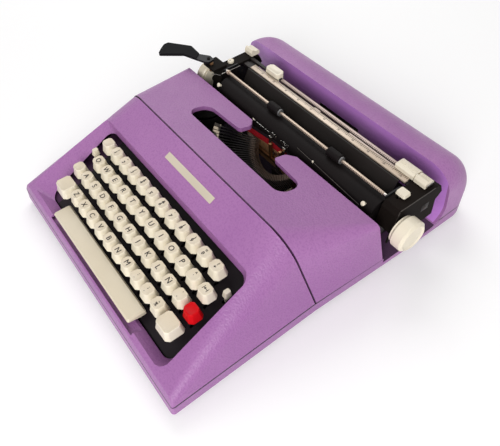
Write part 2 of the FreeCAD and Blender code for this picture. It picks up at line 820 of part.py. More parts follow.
def rear_hollow():
    """Space inside the rear housing, as rings that shrink towards both ends."""
    half = n.body_width / 2 - n.shell
    end_r = n.rear_end_r - n.shell
    middle = (n.body_depth - n.rear_top_r, n.rear_height - n.rear_top_r)
    rings = []
    for side in (-1, 1):
        for degrees in (0, 30, 60, 90)[::-side]:
            turn = math.radians(degrees)
            x = xn(side * (half - end_r * (1 - math.cos(turn))))
            radius = n.rear_top_r - n.shell - end_r * (1 - math.sin(turn))
            outline = [(300, n.base_seam - 1), (300, middle[1] + radius)]
            for rise in (90, 60, 30, 0):
                angle = math.radians(rise)
                outline.append((middle[0] + radius * math.cos(angle),
                                middle[1] + radius * math.sin(angle)))
            outline.append((middle[0] + radius, n.base_seam - 1))
            rings.append([V(x, yn(back), height) for back, height in outline])
    return faceted(rings)


def side_ledge(left, wide):
    """Shelf beside the carriage that sweeps up into the rear housing's inner wall."""
    lean = math.atan((n.rear_front_foot - n.rear_front) / (n.rear_height - n.base_seam))
    sweep = n.ledge_sweep
    rise = n.ledge_top + sweep
    wall = n.rear_front_foot - math.tan(lean) * (rise - n.base_seam)
    middle = V(xn(left), yn(wall) - sweep / math.cos(lean), rise)
    turns = (-math.pi / 2, -math.pi / 4, lean)
    swept = [middle + V(0, math.cos(t), math.sin(t)) * sweep for t in turns]
    low = n.side_cut_height + n.ride_gap
    corners = [(n.side_cut_front, n.ledge_top), (n.side_cut_front, low),
               (n.side_cut_fall - 1, low), (n.rear_front_foot - 1, n.base_seam),
               (n.rear_front_foot + n.shell / 2, n.base_seam + 0.5)]
    points = [V(xn(left), yn(back), height) for back, height in corners]
    points.append(V(points[-1].x, points[-1].y, swept[-1].z))
    edges = [Part.Arc(*swept).toShape()]
    path = [swept[-1]] + points[::-1] + [swept[0]]
    for start, end in zip(path, path[1:]):
        edges.append(Part.LineSegment(start, end).toShape())
    return Part.Face(Part.Wire(edges)).extrude(V(wide, 0, 0))


def rear_housing():
    """Rear shell with an inner wall and slot, and a shelf beside each carriage end."""
    above = n.rear_height + 10
    outer = rear_block().cut(rear_front_cut(0, above))
    inner = rear_hollow().cut(rear_front_cut(n.shell, above))
    slot = block(-n.rear_slot_left, n.rear_slot_right, n.rear_front, n.rear_front_foot + 3,
                 n.rear_slot_low, n.rear_slot_low + n.rear_slot_high)
    wide = n.body_width / 2 - n.ledge_in
    ledges = [side_ledge(left, wide) for left in (-n.body_width / 2, n.ledge_in)]
    shell = outer.cut([inner, slot]).fuse(ledges)
    return node(feature("rear_housing", shell.removeSplitter()), "rear_housing")


# Fixed inside
def side_frames():
    """Two pressed plates that carry the mask, the shaft and the carriage rails."""
    floor = n.foot_height + n.shell
    front = n.mask_front + 2
    rear = n.platen_back + n.rail_back
    under = n.mask_thick * 1.1
    outline = [
        (front, floor), (front, mask_top(front) - under),
        (n.mask_back, mask_top(n.mask_back) - under), (n.mask_back + 4, 60),
        (n.spool_back, 60), (n.platen_back - 20, n.rail_low),
        (rear + n.rail_deep / 2, n.rail_low), (rear + n.rail_deep / 2, 24), (328, 20),
        (328, floor)]
    plates = []
    for left in (-n.frame_x - n.frame_thick, n.frame_x):
        plate = side_prism(left, n.frame_thick, outline)
        window = side_prism(left, n.frame_thick, [
            (160, 26), (160, 50), (205, 50), (225, 36), (225, 30), (205, 26)])
        plates.append(plate.cut(window))
    return node(feature("side_frames", Part.makeCompound(plates)), "side_frames")


def key_mask_plate():
    """Black plate under the key tops, slotted for the lever stems."""
    outline = [
        (n.mask_front, mask_top(n.mask_front)), (n.mask_back, mask_top(n.mask_back)),
        (n.mask_back, mask_top(n.mask_back) - n.mask_thick),
        (n.mask_front, mask_top(n.mask_front) - n.mask_thick)]
    half = n.frame_x + n.frame_thick
    plate = side_prism(-half, 2 * half, outline)
    side = n.lever_thick / 2 + 0.8
    slots = []
    for x in SPACE_LEVERS:
        slots.append(block(x - side, x + side, n.mask_front - 1, n.first_row_back - 5, 0, 90))
    for x, back in all_stems():
        slots.append(block(x - side, x + side, back - n.stem_deep / 2 - 3,
                           back + n.stem_deep / 2 + 0.8, 0, 90))
    return node(feature("key_mask_plate", plate.cut(slots)), "key_mask_plate")


def key_fulcrum_shaft():
    """The rod on which every key lever turns."""
    shaft = rod("key_fulcrum_shaft", (X(-d.frame_x), Y(d.fulcrum_back), d.fulcrum_height),
                d.fulcrum_r, d.frame_x * 2)
    return node(shaft, "key_fulcrum_shaft")


def key_lever_comb():
    """Comb that keeps the levers upright and at their pitch."""
    half = n.frame_x
    plate = block(-half, half, n.comb_back, n.comb_back + n.comb_thick, n.comb_low,
                  n.comb_high)
    side = n.lever_thick / 2 + 0.3
    levers = sorted({round(x, 3) for x, back in all_stems()} | set(SPACE_LEVERS))
    drop = (n.fulcrum_back - n.comb_back) * math.tan(math.radians(KEY_PRESS))
    low = n.lever_low - drop - 1
    slots = [block(x - side, x + side, n.comb_back - 1, n.comb_back + n.comb_thick + 1, low,
                   n.comb_high + 1) for x in levers]
    return node(feature("key_lever_comb", plate.cut(slots)), "key_lever_comb")


def carriage_rails():
    """Front and rear rails on which the carriage rides."""
    rails = []
    for name, back in (("front_rail", d.platen_back), ("rear_rail", d.platen_back + d.rail_back)):
        rails.append(box(name, (X(-d.frame_x - d.frame_thick), Y(back - d.rail_deep / 2),
                                d.rail_low),
                         ((d.frame_x + d.frame_thick) * 2, d.rail_deep, d.rail_high)))
    return node(fuse("carriage_rails", *rails), "carriage_rails")


def spool_cups():
    """Two open cups on brackets, each with a spindle and a gap for the ribbon."""
    cups = []
    for side in (-1, 1):
        middle = n.mech_x + side * n.spool_x
        centre = V(xn(middle), yn(n.spool_back), n.cup_low)
        outer = Part.makeCylinder(n.cup_r, n.cup_high, centre)
        inner = Part.makeCylinder(n.cup_r - n.cup_skin, n.cup_high, centre + V(0, 0, n.cup_skin))
        spindle = Part.makeCylinder(n.fulcrum_r, n.spool_low + n.spool_high - n.cup_low, centre)
        seat = Part.makeCylinder(n.spool_hub + 1,
                                 n.spool_low - n.cup_low - n.ride_gap, centre)
        inward = middle - side * (n.cup_r - 12)
        gap = block(min(inward, inward - side * 14), max(inward, inward - side * 14),
                    n.spool_back + 10, n.spool_back + 26, n.ribbon_low - 2, 90)
        near = middle + side * (n.cup_r - 8)
        wall = side * n.frame_x
        bracket = block(min(near, wall), max(near, wall), n.spool_back - 12,
                        n.spool_back - 2, n.cup_low, n.cup_low + n.cup_skin)
        cup = outer.cut(inner).cut(gap).fuse([spindle, seat, bracket])
        cups.append(cup.removeSplitter())
    return node(feature("spool_cups", Part.makeCompound(cups)), "spool_cups")


def guide_posts():
    """Posts from the floor: basket guides, vibrator guide, drum and wheel spindles."""
    floor = d.foot_height + d.shell
    posts = []
    for name, side in (("basket_post_left", -1), ("basket_post_right", 1)):
        posts.append(rod(name, (X(d.mech_x + side * d.post_x), Y(d.post_back), floor),
                         d.post_r, d.post_top - floor, "z"))
    posts.append(box("vibrator_guide", (X(d.mech_x - 6), Y(d.ribbon_back - 5.3), floor),
                     (12.0, 3.0, 22.0)))
    posts.append(rod("drum_post", (X(d.drum_x), Y(d.drum_back), floor), d.fulcrum_r,
                     d.drum_low + d.drum_high - floor, "z"))
    posts.append(rod("wheel_post", (X(d.wheel_x), Y(d.wheel_back), floor), 4.0,
                     d.wheel_low - d.ride_gap - floor, "z"))
    posts.append(rod("wheel_spindle", (X(d.wheel_x), Y(d.wheel_back), floor), d.fulcrum_r,
                     d.wheel_low + d.wheel_thick - floor, "z"))
    return node(fuse("guide_posts", *posts), "guide_posts")


# Keys
def rounded_block_wire(x, y, height, wide, deep, radius):
    """Rounded rectangle in plan about (x, y) in body distances."""
    corners = [(x - wide / 2, y - deep / 2), (x + wide / 2, y - deep / 2),
               (x + wide / 2, y + deep / 2), (x - wide / 2, y + deep / 2)]
    placed = [(xn(a), yn(b), radius) for a, b in corners]
    return rounded_outline(placed, level(height))


def key_cap(x, back, top, wide=None, deep=None):
    """Moulded key top: tapering sides, cut corners and a finger dish."""
    wide = wide or n.cap_wide
    deep = deep or n.cap_deep
    draw = n.cap_draw
    cap = Part.makeWedge(0, 0, 0, draw, draw, wide, n.cap_height, deep, deep - draw,
                         wide - draw)
    cap.Placement = FreeCAD.Placement(
        V(xn(x) - wide / 2, yn(back) + deep / 2, top - n.cap_height),
        FreeCAD.Rotation(V(1, 0, 0), 90))
    corners = [edge for edge in cap.Edges
               if abs(edge.Vertexes[0].Z - edge.Vertexes[-1].Z) > n.cap_height / 2]
    cap = cap.makeChamfer(n.cap_corner, corners)
    chord = deep - 2 * draw
    radius = (chord * chord / 4 + n.dish_depth ** 2) / (2 * n.dish_depth)
    dish = Part.makeCylinder(radius, wide + 10,
                             V(xn(x) - wide / 2 - 5, yn(back), top + radius - n.dish_depth),
                             V(1, 0, 0))
    return cap.cut(dish)


def key_lever(x, back, cap_low):
    """Flat lever: stem under the cap, long bar and an open notch on the shaft."""
    thick = n.lever_thick
    stem = n.stem_deep / 2
    high = n.lever_low + n.lever_deep
    rear_high = n.lever_rear_low + n.lever_deep
    fit = n.fulcrum_r + n.running_fit
    drop = n.lever_drop_front
    outline = [
        (back - stem, n.lever_low), (back - stem, cap_low), (back + stem, cap_low),
        (back + stem, high), (drop, high), (drop + 12, rear_high),
        (n.fulcrum_back - 8, rear_high), (n.fulcrum_back - 5, rear_high + 3),
        (n.fulcrum_back + 4, rear_high + 3), (n.fulcrum_back + 4, n.lever_rear_low),
        (n.fulcrum_back + fit, n.lever_rear_low),
        (n.fulcrum_back + fit, n.fulcrum_height + fit),
        (n.fulcrum_back - fit, n.fulcrum_height + fit),
        (n.fulcrum_back - fit, n.lever_rear_low), (drop + 12, n.lever_rear_low),
        (drop, n.lever_low)]
    return side_prism(x - thick / 2, thick, outline)


def key_row(row):
    """Caps and levers of one row of character keys, as two sub-parts."""
    name = {"number": "number", "upper": "upper_letter", "home": "home_letter",
            "lower": "lower_letter"}[row]
    back = key_back(row)
    top = key_height(row)
    caps = [key_cap(key_x(row, c), back, top) for c in ROW_COLUMNS[row]]
    levers = [key_lever(key_x(row, c), back, top - n.cap_height) for c in ROW_COLUMNS[row]]
    node(feature(name + "_keys", Part.makeCompound(caps)), name + "_keys")
    node(feature(name + "_levers", Part.makeCompound(levers)), name + "_levers")


def single_key():
    """The middle letter key, whose whole train is modelled."""
    x = key_x("home", SINGLE_COLUMN)
    back = key_back("home")
    top = key_height("home")
    node(feature("key_cap_g", key_cap(x, back, top)), "key_cap_g")
    node(feature("key_lever_g", key_lever(x, back, top - n.cap_height)), "key_lever_g")


def special_key(label, lever, x, row, wide=None, deep=None):
    """A key outside the character rows: cap and lever in one sub-part."""
    back = key_back(row)
    top = key_height(row)
    forward = (deep - n.cap_deep) / 2 if deep else 0.0
    made = [key_cap(x, back - forward, top, wide, deep),
            key_lever(lever, back, top - n.cap_height)]
    return node(feature(label, Part.makeCompound(made)), label)


def small_lever_key(label, lever, back, top):
    """Small finger piece on a lever of its own."""
    tab = loft(rounded_block_wire(lever, back, top - 6, 7, 8, 2.0),
               rounded_block_wire(lever, back + 0.5, top, 5, 6, 1.5))
    made = [tab, key_lever(lever, back, top - 6)]
    return node(feature(label, Part.makeCompound(made)), label)


def special_keys():
    inset = (n.shift_wide - n.cap_wide) / 2
    for side, shift in (("left", -inset), ("right", inset)):
        lever = SPECIAL_LEVERS["shift_" + side]
        special_key("shift_key_" + side, lever, lever + shift, "lower", n.shift_wide,
                    n.shift_deep)
    special_key("shift_lock_key", SPECIAL_LEVERS["lock"], SPECIAL_LEVERS["lock"], "home")
    special_key("tab_key", SPECIAL_LEVERS["tab"], SPECIAL_LEVERS["tab"], "home")
    special_key("backspace_key", SPECIAL_LEVERS["back"], SPECIAL_LEVERS["back"], "number")
    labels = {"release": "margin_release_key", "selector": "ribbon_selector"}
    for name, back, top in SMALL_KEYS:
        small_lever_key(labels[name], SPECIAL_LEVERS[name], back, top)


def space_bar():
    """Long bar on two levers, thin along its front edge, which overhangs the rim."""
    low = n.space_top - n.space_deep
    front = n.space_front
    rear = n.space_back
    top = n.space_top
    points = [(front, top - n.space_edge), (front + 2, top - n.space_edge - 0.5),
              (n.space_stem - 3, low), (rear, low), (rear, top - 1.5), (rear - 1.5, top),
              (front + 2.5, top), (front + 0.6, top - 0.9)]
    made = [side_prism(-n.space_left, n.space_left + n.space_right, points)]
    for lever in SPACE_LEVERS:
        made.append(key_lever(lever, n.space_stem, low))
    return node(feature("space_bar", Part.makeCompound(made)), "space_bar")


# Type basket
PIVOT_BORE = 0.7


def sine(angle):
    return Dim("sin(%s)" % angle.text, math.sin(math.radians(angle.value)))


def cosine(angle):
    return Dim("cos(%s)" % angle.text, math.cos(math.radians(angle.value)))


def ring_centre():
    """Centre of the ring of typebar pivots, below the printing point."""
    return (X(d.mech_x), Y(d.type_back + d.ring_drop * sine(d.ring_tilt)),
            d.type_height - d.ring_drop * cosine(d.ring_tilt))


def tilt(owner):
    owner.Placement.Rotation = FreeCAD.Rotation(V(1, 0, 0), n.ring_tilt)
    owner.setExpression(".Placement.Rotation.Angle", "dims.ring_tilt")


def type_segment():
    """Slotted segment of a ring that carries the typebars, with its guide lugs."""
    ring = body("segment_ring", ring_centre())
    tilt(ring)
    disc = sketch(ring, "ring_outline", "XY_Plane", -d.ring_under)
    circle(disc, (0, 0), d.ring_out)
    circle(disc, (0, 0), d.ring_in)
    pad(ring, "ring_pad", disc, d.ring_under + d.ring_top)
    rear = sketch(ring, "rear_outline", "XY_Plane", d.ring_top)
    wide = d.ring_out + 2
    open_from = -d.ring_in * 0.41
    polygon(rear, [(-wide, open_from), (wide, open_from), (wide, wide), (-wide, wide)])
    pocket(ring, "rear_opening", rear, d.ring_under + d.ring_top)
    slot = sketch(ring, "slot_outline", "XY_Plane", d.ring_top)
    first = -n.typebar_step * (n.typebar_count - 1) / 2
    slot.AttachmentOffset = FreeCAD.Placement(V(0, 0, n.ring_top),
                                              FreeCAD.Rotation(V(0, 0, 1), first))
    slot.setExpression(".AttachmentOffset.Rotation.Angle",
                       "-dims.typebar_step * (dims.typebar_count - 1) / 2")
    half = d.slot_wide / 2
    polygon(slot, [(-half, -d.ring_out - 1), (half, -d.ring_out - 1), (half, -d.ring_in + 1),
                   (-half, -d.ring_in + 1)])
    cutter = pocket(ring, "slot", slot, d.ring_top + d.slot_floor)
    pattern = ring.newObject("PartDesign::PolarPattern", "slots")
    pattern.Originals = [cutter]
    pattern.Axis = (slot, ["N_Axis"])
    pattern.Angle = n.typebar_step * (n.typebar_count - 1)
    pattern.setExpression("Angle", "dims.typebar_step * (dims.typebar_count - 1)")
    pattern.Occurrences = int(n.typebar_count)
    ring.Tip = pattern
    lugs = []
    low = d.type_height - d.lug_drop
    for name, side in (("left", -1), ("right", 1)):
        inner = d.mech_x + side * (d.post_x - 18)
        left = inner if side > 0 else d.mech_x - d.post_x - d.post_r - 3
        wide = 18 + d.post_r + 3
        plate = box("lug_plate_" + name, (X(left), Y(d.post_back - 6), low),
                    (wide, 12.0, d.lug_high))
        bore = rod("lug_bore_" + name, (X(d.mech_x + side * d.post_x), Y(d.post_back), low - 1),
                   d.post_r + d.running_fit, 8.0, "z")
        lugs.append(cut("lug_" + name, plate, bore))
    return node(fuse("type_segment", ring, *lugs), "type_segment")


def typebar(angle, bore=None):
    """One typebar at rest, with its type slug, at an angle round the ring."""
    length = math.hypot(n.pivot_r, n.ring_drop)
    half = n.typebar_deep / 2
    thick = n.typebar_thick
    end = length - n.slug_tall / 2
    bar = Part.makeBox(thick, end + n.typebar_tail, 2 * half,
                       V(-thick / 2, -n.typebar_tail, -half))
    slug = Part.makeBox(n.slug_wide, n.slug_tall, n.slug_deep,
                        V(-n.slug_wide / 2, end, -n.slug_deep / 2))
    made = bar.fuse(slug)
    if bore:
        made = made.cut(Part.makeCylinder(bore, 2 * thick, V(-thick, 0, 0), V(1, 0, 0)))
    outward = FreeCAD.Rotation(V(0, 0, 1), 180 + angle)
    raise_up = FreeCAD.Rotation(V(1, 0, 0), n.typebar_rest)
    lean = FreeCAD.Rotation(V(1, 0, 0), n.ring_tilt)
    theta = math.radians(angle)
    pivot = V(n.pivot_r * math.sin(theta), -n.pivot_r * math.cos(theta), 0)
    centre = V(*[part.value for part in ring_centre()])
    placed = FreeCAD.Placement(centre, lean)
    placed = placed.multiply(FreeCAD.Placement(pivot, outward))
    made.Placement = placed.multiply(FreeCAD.Placement(V(0, 0, 0), raise_up))
    return made


def typebars():
    """The typebars at rest in the basket, the middle one as its own sub-part."""
    count = int(n.typebar_count)
    middle = count // 2
    angles = [(k - (count - 1) / 2) * n.typebar_step for k in range(count)]
    resting = [typebar(angle) for k, angle in enumerate(angles) if k != middle]
    node(feature("typebars", Part.makeCompound(resting)), "typebars")
    single = typebar(angles[middle], PIVOT_BORE)
    node(feature("typebar_g", Part.makeCompound([single])), "typebar_g")


def type_guide():
    """Cross bar between the lugs, with a fork that guides a typebar as it arrives."""
    low = d.type_height - d.lug_drop
    back = Y(d.ribbon_back - 5.5)
    reach = d.post_x - 18
    parts = [box("guide_bar", (X(d.mech_x - reach), back, low),
                 (reach * 2, 3.0, d.lug_high - 1.7))]
    for side in (-10.0, 7.0):
        parts.append(box("guide_prong", (X(d.mech_x + side), back, low + 2), (3.0, 3.0, 21.0)))
    return node(fuse("type_guide", *parts), "type_guide")


# Ribbon
def ribbon_vibrator():
    """Fork that lifts the ribbon to the printing line: a stem, a bridge and two prongs."""
    back = Y(d.ribbon_back - 2.0)
    middle = X(d.mech_x)
    deep, prong_wide = 1.5, 5.0
    stem_low, bridge_low, prong_low, prong_top = 22.0, 47.0, 50.0, 72.0
    stem = box("vibrator_stem", (middle - 3, back, stem_low),
               (6.0, deep, bridge_low - stem_low + 1))
    bridge = box("vibrator_bridge", (middle - d.ribbon_span, back, bridge_low),
                 (d.ribbon_span * 2, deep, 6.0))
    parts = [stem, bridge]
    for left in (middle - d.ribbon_span, middle + d.ribbon_span - prong_wide):
        parts.append(box("vibrator_prong", (left, back, prong_low),
                         (prong_wide, deep, prong_top - prong_low)))
    return node(fuse("ribbon_vibrator", *parts), "ribbon_vibrator")


def ribbon_end(side):
    """Where the ribbon leaves the wound spool, in body distances."""
    near = V(n.mech_x + side * n.ribbon_span, n.ribbon_back, 0)
    centre = V(n.mech_x + side * n.spool_x, n.spool_back, 0)
    away = near - centre
    reach = n.wound_r + n.ride_gap
    turn = math.atan2(away.y, away.x) - side * math.acos(reach / away.Length)
    return centre + V(math.cos(turn), math.sin(turn), 0) * reach


def ribbon():
    """Ribbon from spool to spool, past the printing point, on edge."""
    near = [V(n.mech_x + side * n.ribbon_span, n.ribbon_back, 0) for side in (-1, 1)]
    path = [ribbon_end(-1), near[0], near[1], ribbon_end(1)]
    back = [point + V(0, n.ribbon_thick, 0) for point in reversed(path)]
    points = [V(xn(point.x), yn(point.y), n.ribbon_low) for point in path + back]
    strip = Part.Face(Part.makePolygon(points + [points[0]])).extrude(V(0, 0, n.ribbon_wide))
    return node(feature("ribbon", strip), "ribbon")


def turned_upright(name, corner, outline):
    """Body turned about a vertical line through corner; outline is (radius, height)."""
    made = body(name, corner)
    profile = sketch(made, name + "_outline", "XZ_Plane")
    polygon(profile, outline)
    revolve(made, name + "_turned", profile, "V_Axis")
    return made


def ribbon_spools():
    """Two spools: hub, two flanges and the wound ribbon between them."""
    bore = d.fulcrum_r + d.running_fit
    for name, side in (("left", -1), ("right", 1)):
        corner = (X(d.mech_x + side * d.spool_x), Y(d.spool_back), d.spool_low)
        outline = [
            (bore, 0.0), (d.spool_r, 0.0), (d.spool_r, d.flange), (d.wound_r, d.flange),
            (d.wound_r, d.spool_high - d.flange), (d.spool_r, d.spool_high - d.flange),
            (d.spool_r, d.spool_high), (d.spool_hub + 3, d.spool_high),
            (d.spool_hub + 3, d.spool_high - 2), (bore, d.spool_high - 2)]
        node(turned_upright("ribbon_spool_" + name, corner, outline), "ribbon_spool_" + name)


# Carriage
FEED_SHAFT = 1.3
PIN_R = 1.5
PIN_HOLE = PIN_R + 0.05
RELEASE_BEHIND = 16.0
RELEASE_HEIGHT = 60.0
BUTTON_X = -128.0
BUTTON_BEHIND = 18.0
BUTTON_R = 4.0
PADDLE_CORNER = 2.5


def CX(across):
    """Row X of a distance to the right of the carriage's middle."""
    return X(d.carriage_x + across)


def feed_axes():
    """(back, height) of the front and rear feed roller axes."""
    reach = n.platen_r + n.feed_r + n.ride_gap
    aside = reach * math.cos(math.radians(n.feed_angle))
    down = reach * math.sin(math.radians(n.feed_angle))
    return [(n.platen_back - aside, n.platen_height - down),
            (n.platen_back + aside, n.platen_height - down)]


def bail_sides():
    """Outer faces of the two bail arms, just inside the end covers."""
    return (n.carriage_x - n.carriage_half + n.cover_left_wide + 0.4,
            n.carriage_x + n.carriage_half - n.cover_right_wide - 0.4)


def plate_lefts():
    """Left faces of the two carriage end plates."""
    return (n.carriage_x - n.carriage_half + 3.0,
            n.carriage_x + n.carriage_half - n.cover_right_wide + 1.0)


def end_plate(name, left):
    """Flat end plate of the carriage with holes for the platen and roller shafts."""
    low = n.rail_low + n.rail_high + n.ride_gap + n.slide_high - 0.4
    top = n.end_top - 4
    outline = [(-12.8, low), (48, low), (48, 70), (44, top), (4, top), (-3, 66), (-3, 62),
               (-8, 58), (-12.8, 52)]
    plate = side_prism(left, n.end_thick,
                       [(n.platen_back + behind, height) for behind, height in outline])
    axes = [(n.platen_back, n.platen_height, n.shaft_r)]
    axes += [(back, height, FEED_SHAFT) for back, height in feed_axes()]
    holes = [Part.makeCylinder(radius + n.running_fit, n.end_thick + 2,
                               V(xn(left) - 1, yn(back), height), V(1, 0, 0))
             for back, height, radius in axes]
    return feature(name, plate.cut(holes))


def carriage_frame():
    """Two riding bars between two end plates, with the escapement rack behind."""
    left, right = plate_lefts()
    parts = [end_plate("end_plate_left", left), end_plate("end_plate_right", right)]
    low = d.rail_low + d.rail_high + d.ride_gap
    across = right + n.end_thick - left
    for name, back in (("front_bar", d.platen_back), ("rear_bar", d.platen_back + d.rail_back)):
        parts.append(box(name, (X(left), Y(back - d.rail_deep / 2), low),
                         (across, d.rail_deep, d.slide_high)))
    wheel_front = d.wheel_back - d.wheel_r - d.ride_gap
    rear_face = d.platen_back + d.rail_back + d.rail_deep / 2
    parts.append(box("rack", (X(left + 8), Y(rear_face + d.ride_gap), d.wheel_low - 1),
                     (across - 16, wheel_front - rear_face - d.ride_gap,
                      low + d.slide_high - d.wheel_low + 1)))
    parts.append(box("rack_web", (X(left + 8), Y(rear_face - 1), low + 1),
                     (across - 16, 3.0, d.slide_high - 1)))
    first, last = bail_sides()
    for name, x, start, end in (("left", left + n.end_thick, left + n.end_thick, first + 1.5),
                                ("right", right - 1, last - 1.5, right)):
        parts.append(box("ear_" + name, (X(x), Y(d.bail_pivot_back - 4),
                                         d.bail_pivot_height - 8), (1.0, 8.0, 14.0)))
        parts.append(rod("pin_" + name, (X(start), Y(d.bail_pivot_back),
                                         d.bail_pivot_height), PIN_R, end - start))
    parts.append(rod("release_pin", (X(right + n.end_thick - 1),
                                     Y(d.platen_back + RELEASE_BEHIND), RELEASE_HEIGHT),
                     PIN_R, 3.8))
    return node(fuse("carriage_frame", *parts), "carriage_frame")


def end_cover(left, wide, open_side):
    """Moulded cover over one carriage end; open_side is -1 for left and 1 for right."""
    top = n.end_top
    outline = [(-11, 49), (-4, top - 6), (0, top), (49, top), (54, top - 2), (58, top - 12),
               (51, 69), (52, 47), (40, 46), (-4, 57)]
    points = [V(xn(left), yn(n.platen_back + behind), height) for behind, height in outline]
    face = Part.Face(Part.makePolygon(points + [points[0]]))
    skin = 2.0
    opening_top = 61.0
    outer = face.extrude(V(wide, 0, 0))
    inner = face.makeOffset2D(-skin).extrude(V(wide, 0, 0))
    inner.translate(V(skin * open_side, 0, 0))
    open_left = left - 1 if open_side < 0 else left + skin
    under = block(open_left, open_left + wide - skin + 1, n.platen_back - 20,
                  n.platen_back + 50, 40, opening_top)
    hole = Part.makeCylinder(n.shaft_r + 0.6, wide + 2,
                             V(xn(left) - 1, yn(n.platen_back), n.platen_height), V(1, 0, 0))
    return outer.cut([inner, under, hole])


def end_covers():
    """The two carriage end covers, the left one with the pivot of the line-space lever."""
    right = n.carriage_x + n.carriage_half - n.cover_right_wide
    slot = block(right + 4, right + 7, n.platen_back + 8, n.platen_back + 20,
                 n.end_top - 8, n.end_top + 2)
    cover = end_cover(right, n.cover_right_wide, -1).cut(slot)
    node(feature("end_cover_right", cover.removeSplitter()), "end_cover_right")
    left = n.carriage_x - n.carriage_half
    cover = end_cover(left, n.cover_left_wide, 1)
    button = Part.makeCylinder(BUTTON_R + n.ride_gap, 10,
                               V(xn(BUTTON_X), yn(n.platen_back + BUTTON_BEHIND),
                                 n.end_top - 8))
    pivot = V(xn(n.lever_pivot_x), yn(n.lever_pivot_back), 0)
    bracket = block(n.lever_pivot_x - 5, left + 11, n.lever_pivot_back - 5,
                    n.platen_back + 8, n.end_top, n.end_top + 3)
    washer = Part.makeCylinder(4.5, n.lever_height - n.ride_gap - n.end_top, pivot +
                               V(0, 0, n.end_top))
    pin = Part.makeCylinder(2.0, n.lever_height + n.lever_sheet - n.end_top, pivot +
                            V(0, 0, n.end_top))
    cover = cover.cut(button).fuse([bracket, washer, pin])
    node(feature("end_cover_left", cover.removeSplitter()), "end_cover_left")


def platen():
    """Rubber roller on its shaft, which runs out to both knobs."""
    reach = d.carriage_half + d.knob_gap + d.knob_wide - 4
    half = d.platen_half
    outline = [(-reach - 4, 0.0), (-reach - 4, d.shaft_r), (-half, d.shaft_r),
               (-half, d.platen_r), (half, d.platen_r), (half, d.shaft_r),
               (reach, d.shaft_r), (reach, 0.0)]
    return node(turned("platen", (CX(0), Y(d.platen_back), d.platen_height), outline), "platen")


def platen_knobs():
    """Two turning knobs, each with a flange behind it and a recessed face."""
    knobs = []
    bore = d.shaft_r + d.running_fit
    for name, side, away in (("left", -1, 4.0), ("right", 1, 0.0)):
        start = d.carriage_half + d.knob_gap + away
        end = start + d.knob_wide
        outline = [(start - 2.5, bore), (start - 2.5, d.knob_r - 2.2),
                   (start - 0.8, d.knob_r - 2.2), (start - 0.8, d.knob_r - 4),
                   (start, d.knob_r - 4), (start, d.knob_r - 1.2), (start + 1.5, d.knob_r),
                   (end - 2.5, d.knob_r), (end, d.knob_r - 2.8), (end - 1.2, d.knob_r - 5),
                   (end - 1.2, 0.0), (end - 3.5, 0.0), (end - 3.5, bore)]
        outline = [(side * along, radius) for along, radius in outline]
        knobs.append(turned("knob_" + name, (CX(0), Y(d.platen_back), d.platen_height),
                            outline))
    return node(fuse("platen_knobs", *knobs), "platen_knobs")


def feed_rollers():
    """Two rubber rollers that press the paper up against the platen."""
    left, right = plate_lefts()
    start = left - n.carriage_x + 0.5
    end = right + n.end_thick - n.carriage_x - 0.5
    for name, axis in zip(("front", "rear"), feed_axes()):
        outline = [(start, 0.0), (start, FEED_SHAFT), (start + 12, FEED_SHAFT),
                   (start + 12, d.feed_r), (end - 12, d.feed_r), (end - 12, FEED_SHAFT),
                   (end, FEED_SHAFT), (end, 0.0)]
        label = "feed_roller_" + name
        node(turned(label, (CX(0), Y(axis[0]), axis[1]), outline), label)


def paper_table():
    """Curved sheet round the back of the platen, on a rod between the end plates."""
    skin = 1.2
    radius = n.platen_r + 2.0
    middle = V(xn(n.carriage_x - 119.5), yn(n.platen_back), n.platen_height)

    def on_arc(r, degrees):
        angle = math.radians(degrees)
        return middle + V(0, r * math.cos(angle), r * math.sin(angle))

    def arc(r, first, last):
        return Part.Arc(on_arc(r, first), on_arc(r, (first + last) / 2), on_arc(r, last))

    top = V(middle.x, yn(n.table_back), n.bail_height)
    bottom, end = -42, 20
    outer = radius + skin
    edges = [
        arc(radius, bottom, end).toShape(),
        Part.LineSegment(on_arc(radius, end), top - V(0, skin, 0)).toShape(),
        Part.LineSegment(top - V(0, skin, 0), top).toShape(),
        Part.LineSegment(top, on_arc(outer, end)).toShape(),
        arc(outer, end, bottom).toShape(),
        Part.LineSegment(on_arc(outer, bottom), on_arc(radius, bottom)).toShape(),
    ]
    curved = Part.Face(Part.Wire(edges)).extrude(V(241, 0, 0))
    left, right = plate_lefts()
    start = left + n.end_thick
    carrier = Part.makeCylinder(1.5, right - start,
                                V(xn(start), yn(n.platen_back) + n.platen_r + 4,
                                  n.platen_height - 1),
                                V(1, 0, 0))
    return node(feature("paper_table", curved.fuse(carrier)), "paper_table")


def paper_bail():
    """Wire that holds the paper against the platen, on two arms."""
    first, last = bail_sides()
    arms = []
    thick = 1.5
    for x in (first, last - thick):
        outline = [(n.bail_pivot_back + 3, n.bail_pivot_height - 3),
                   (n.bail_pivot_back + 3, n.bail_pivot_height + 3),
                   (n.bail_pivot_back - 6, n.bail_height + 2),
                   (n.bail_back - 2, n.bail_height + 2), (n.bail_back - 2, n.bail_height - 2),
                   (n.bail_pivot_back - 8, n.bail_height - 2),
                   (n.bail_pivot_back - 3, n.bail_pivot_height - 3)]
        hole = Part.makeCylinder(PIN_HOLE, thick + 2, V(xn(x) - 1, yn(n.bail_pivot_back),
                                                        n.bail_pivot_height), V(1, 0, 0))
        arms.append(side_prism(x, thick, outline).cut(hole))
    wire = Part.makeCylinder(n.bail_wire, last - first,
                             V(xn(first), yn(n.bail_back), n.bail_height), V(1, 0, 0))
    return node(feature("paper_bail", wire.fuse(arms)), "paper_bail")


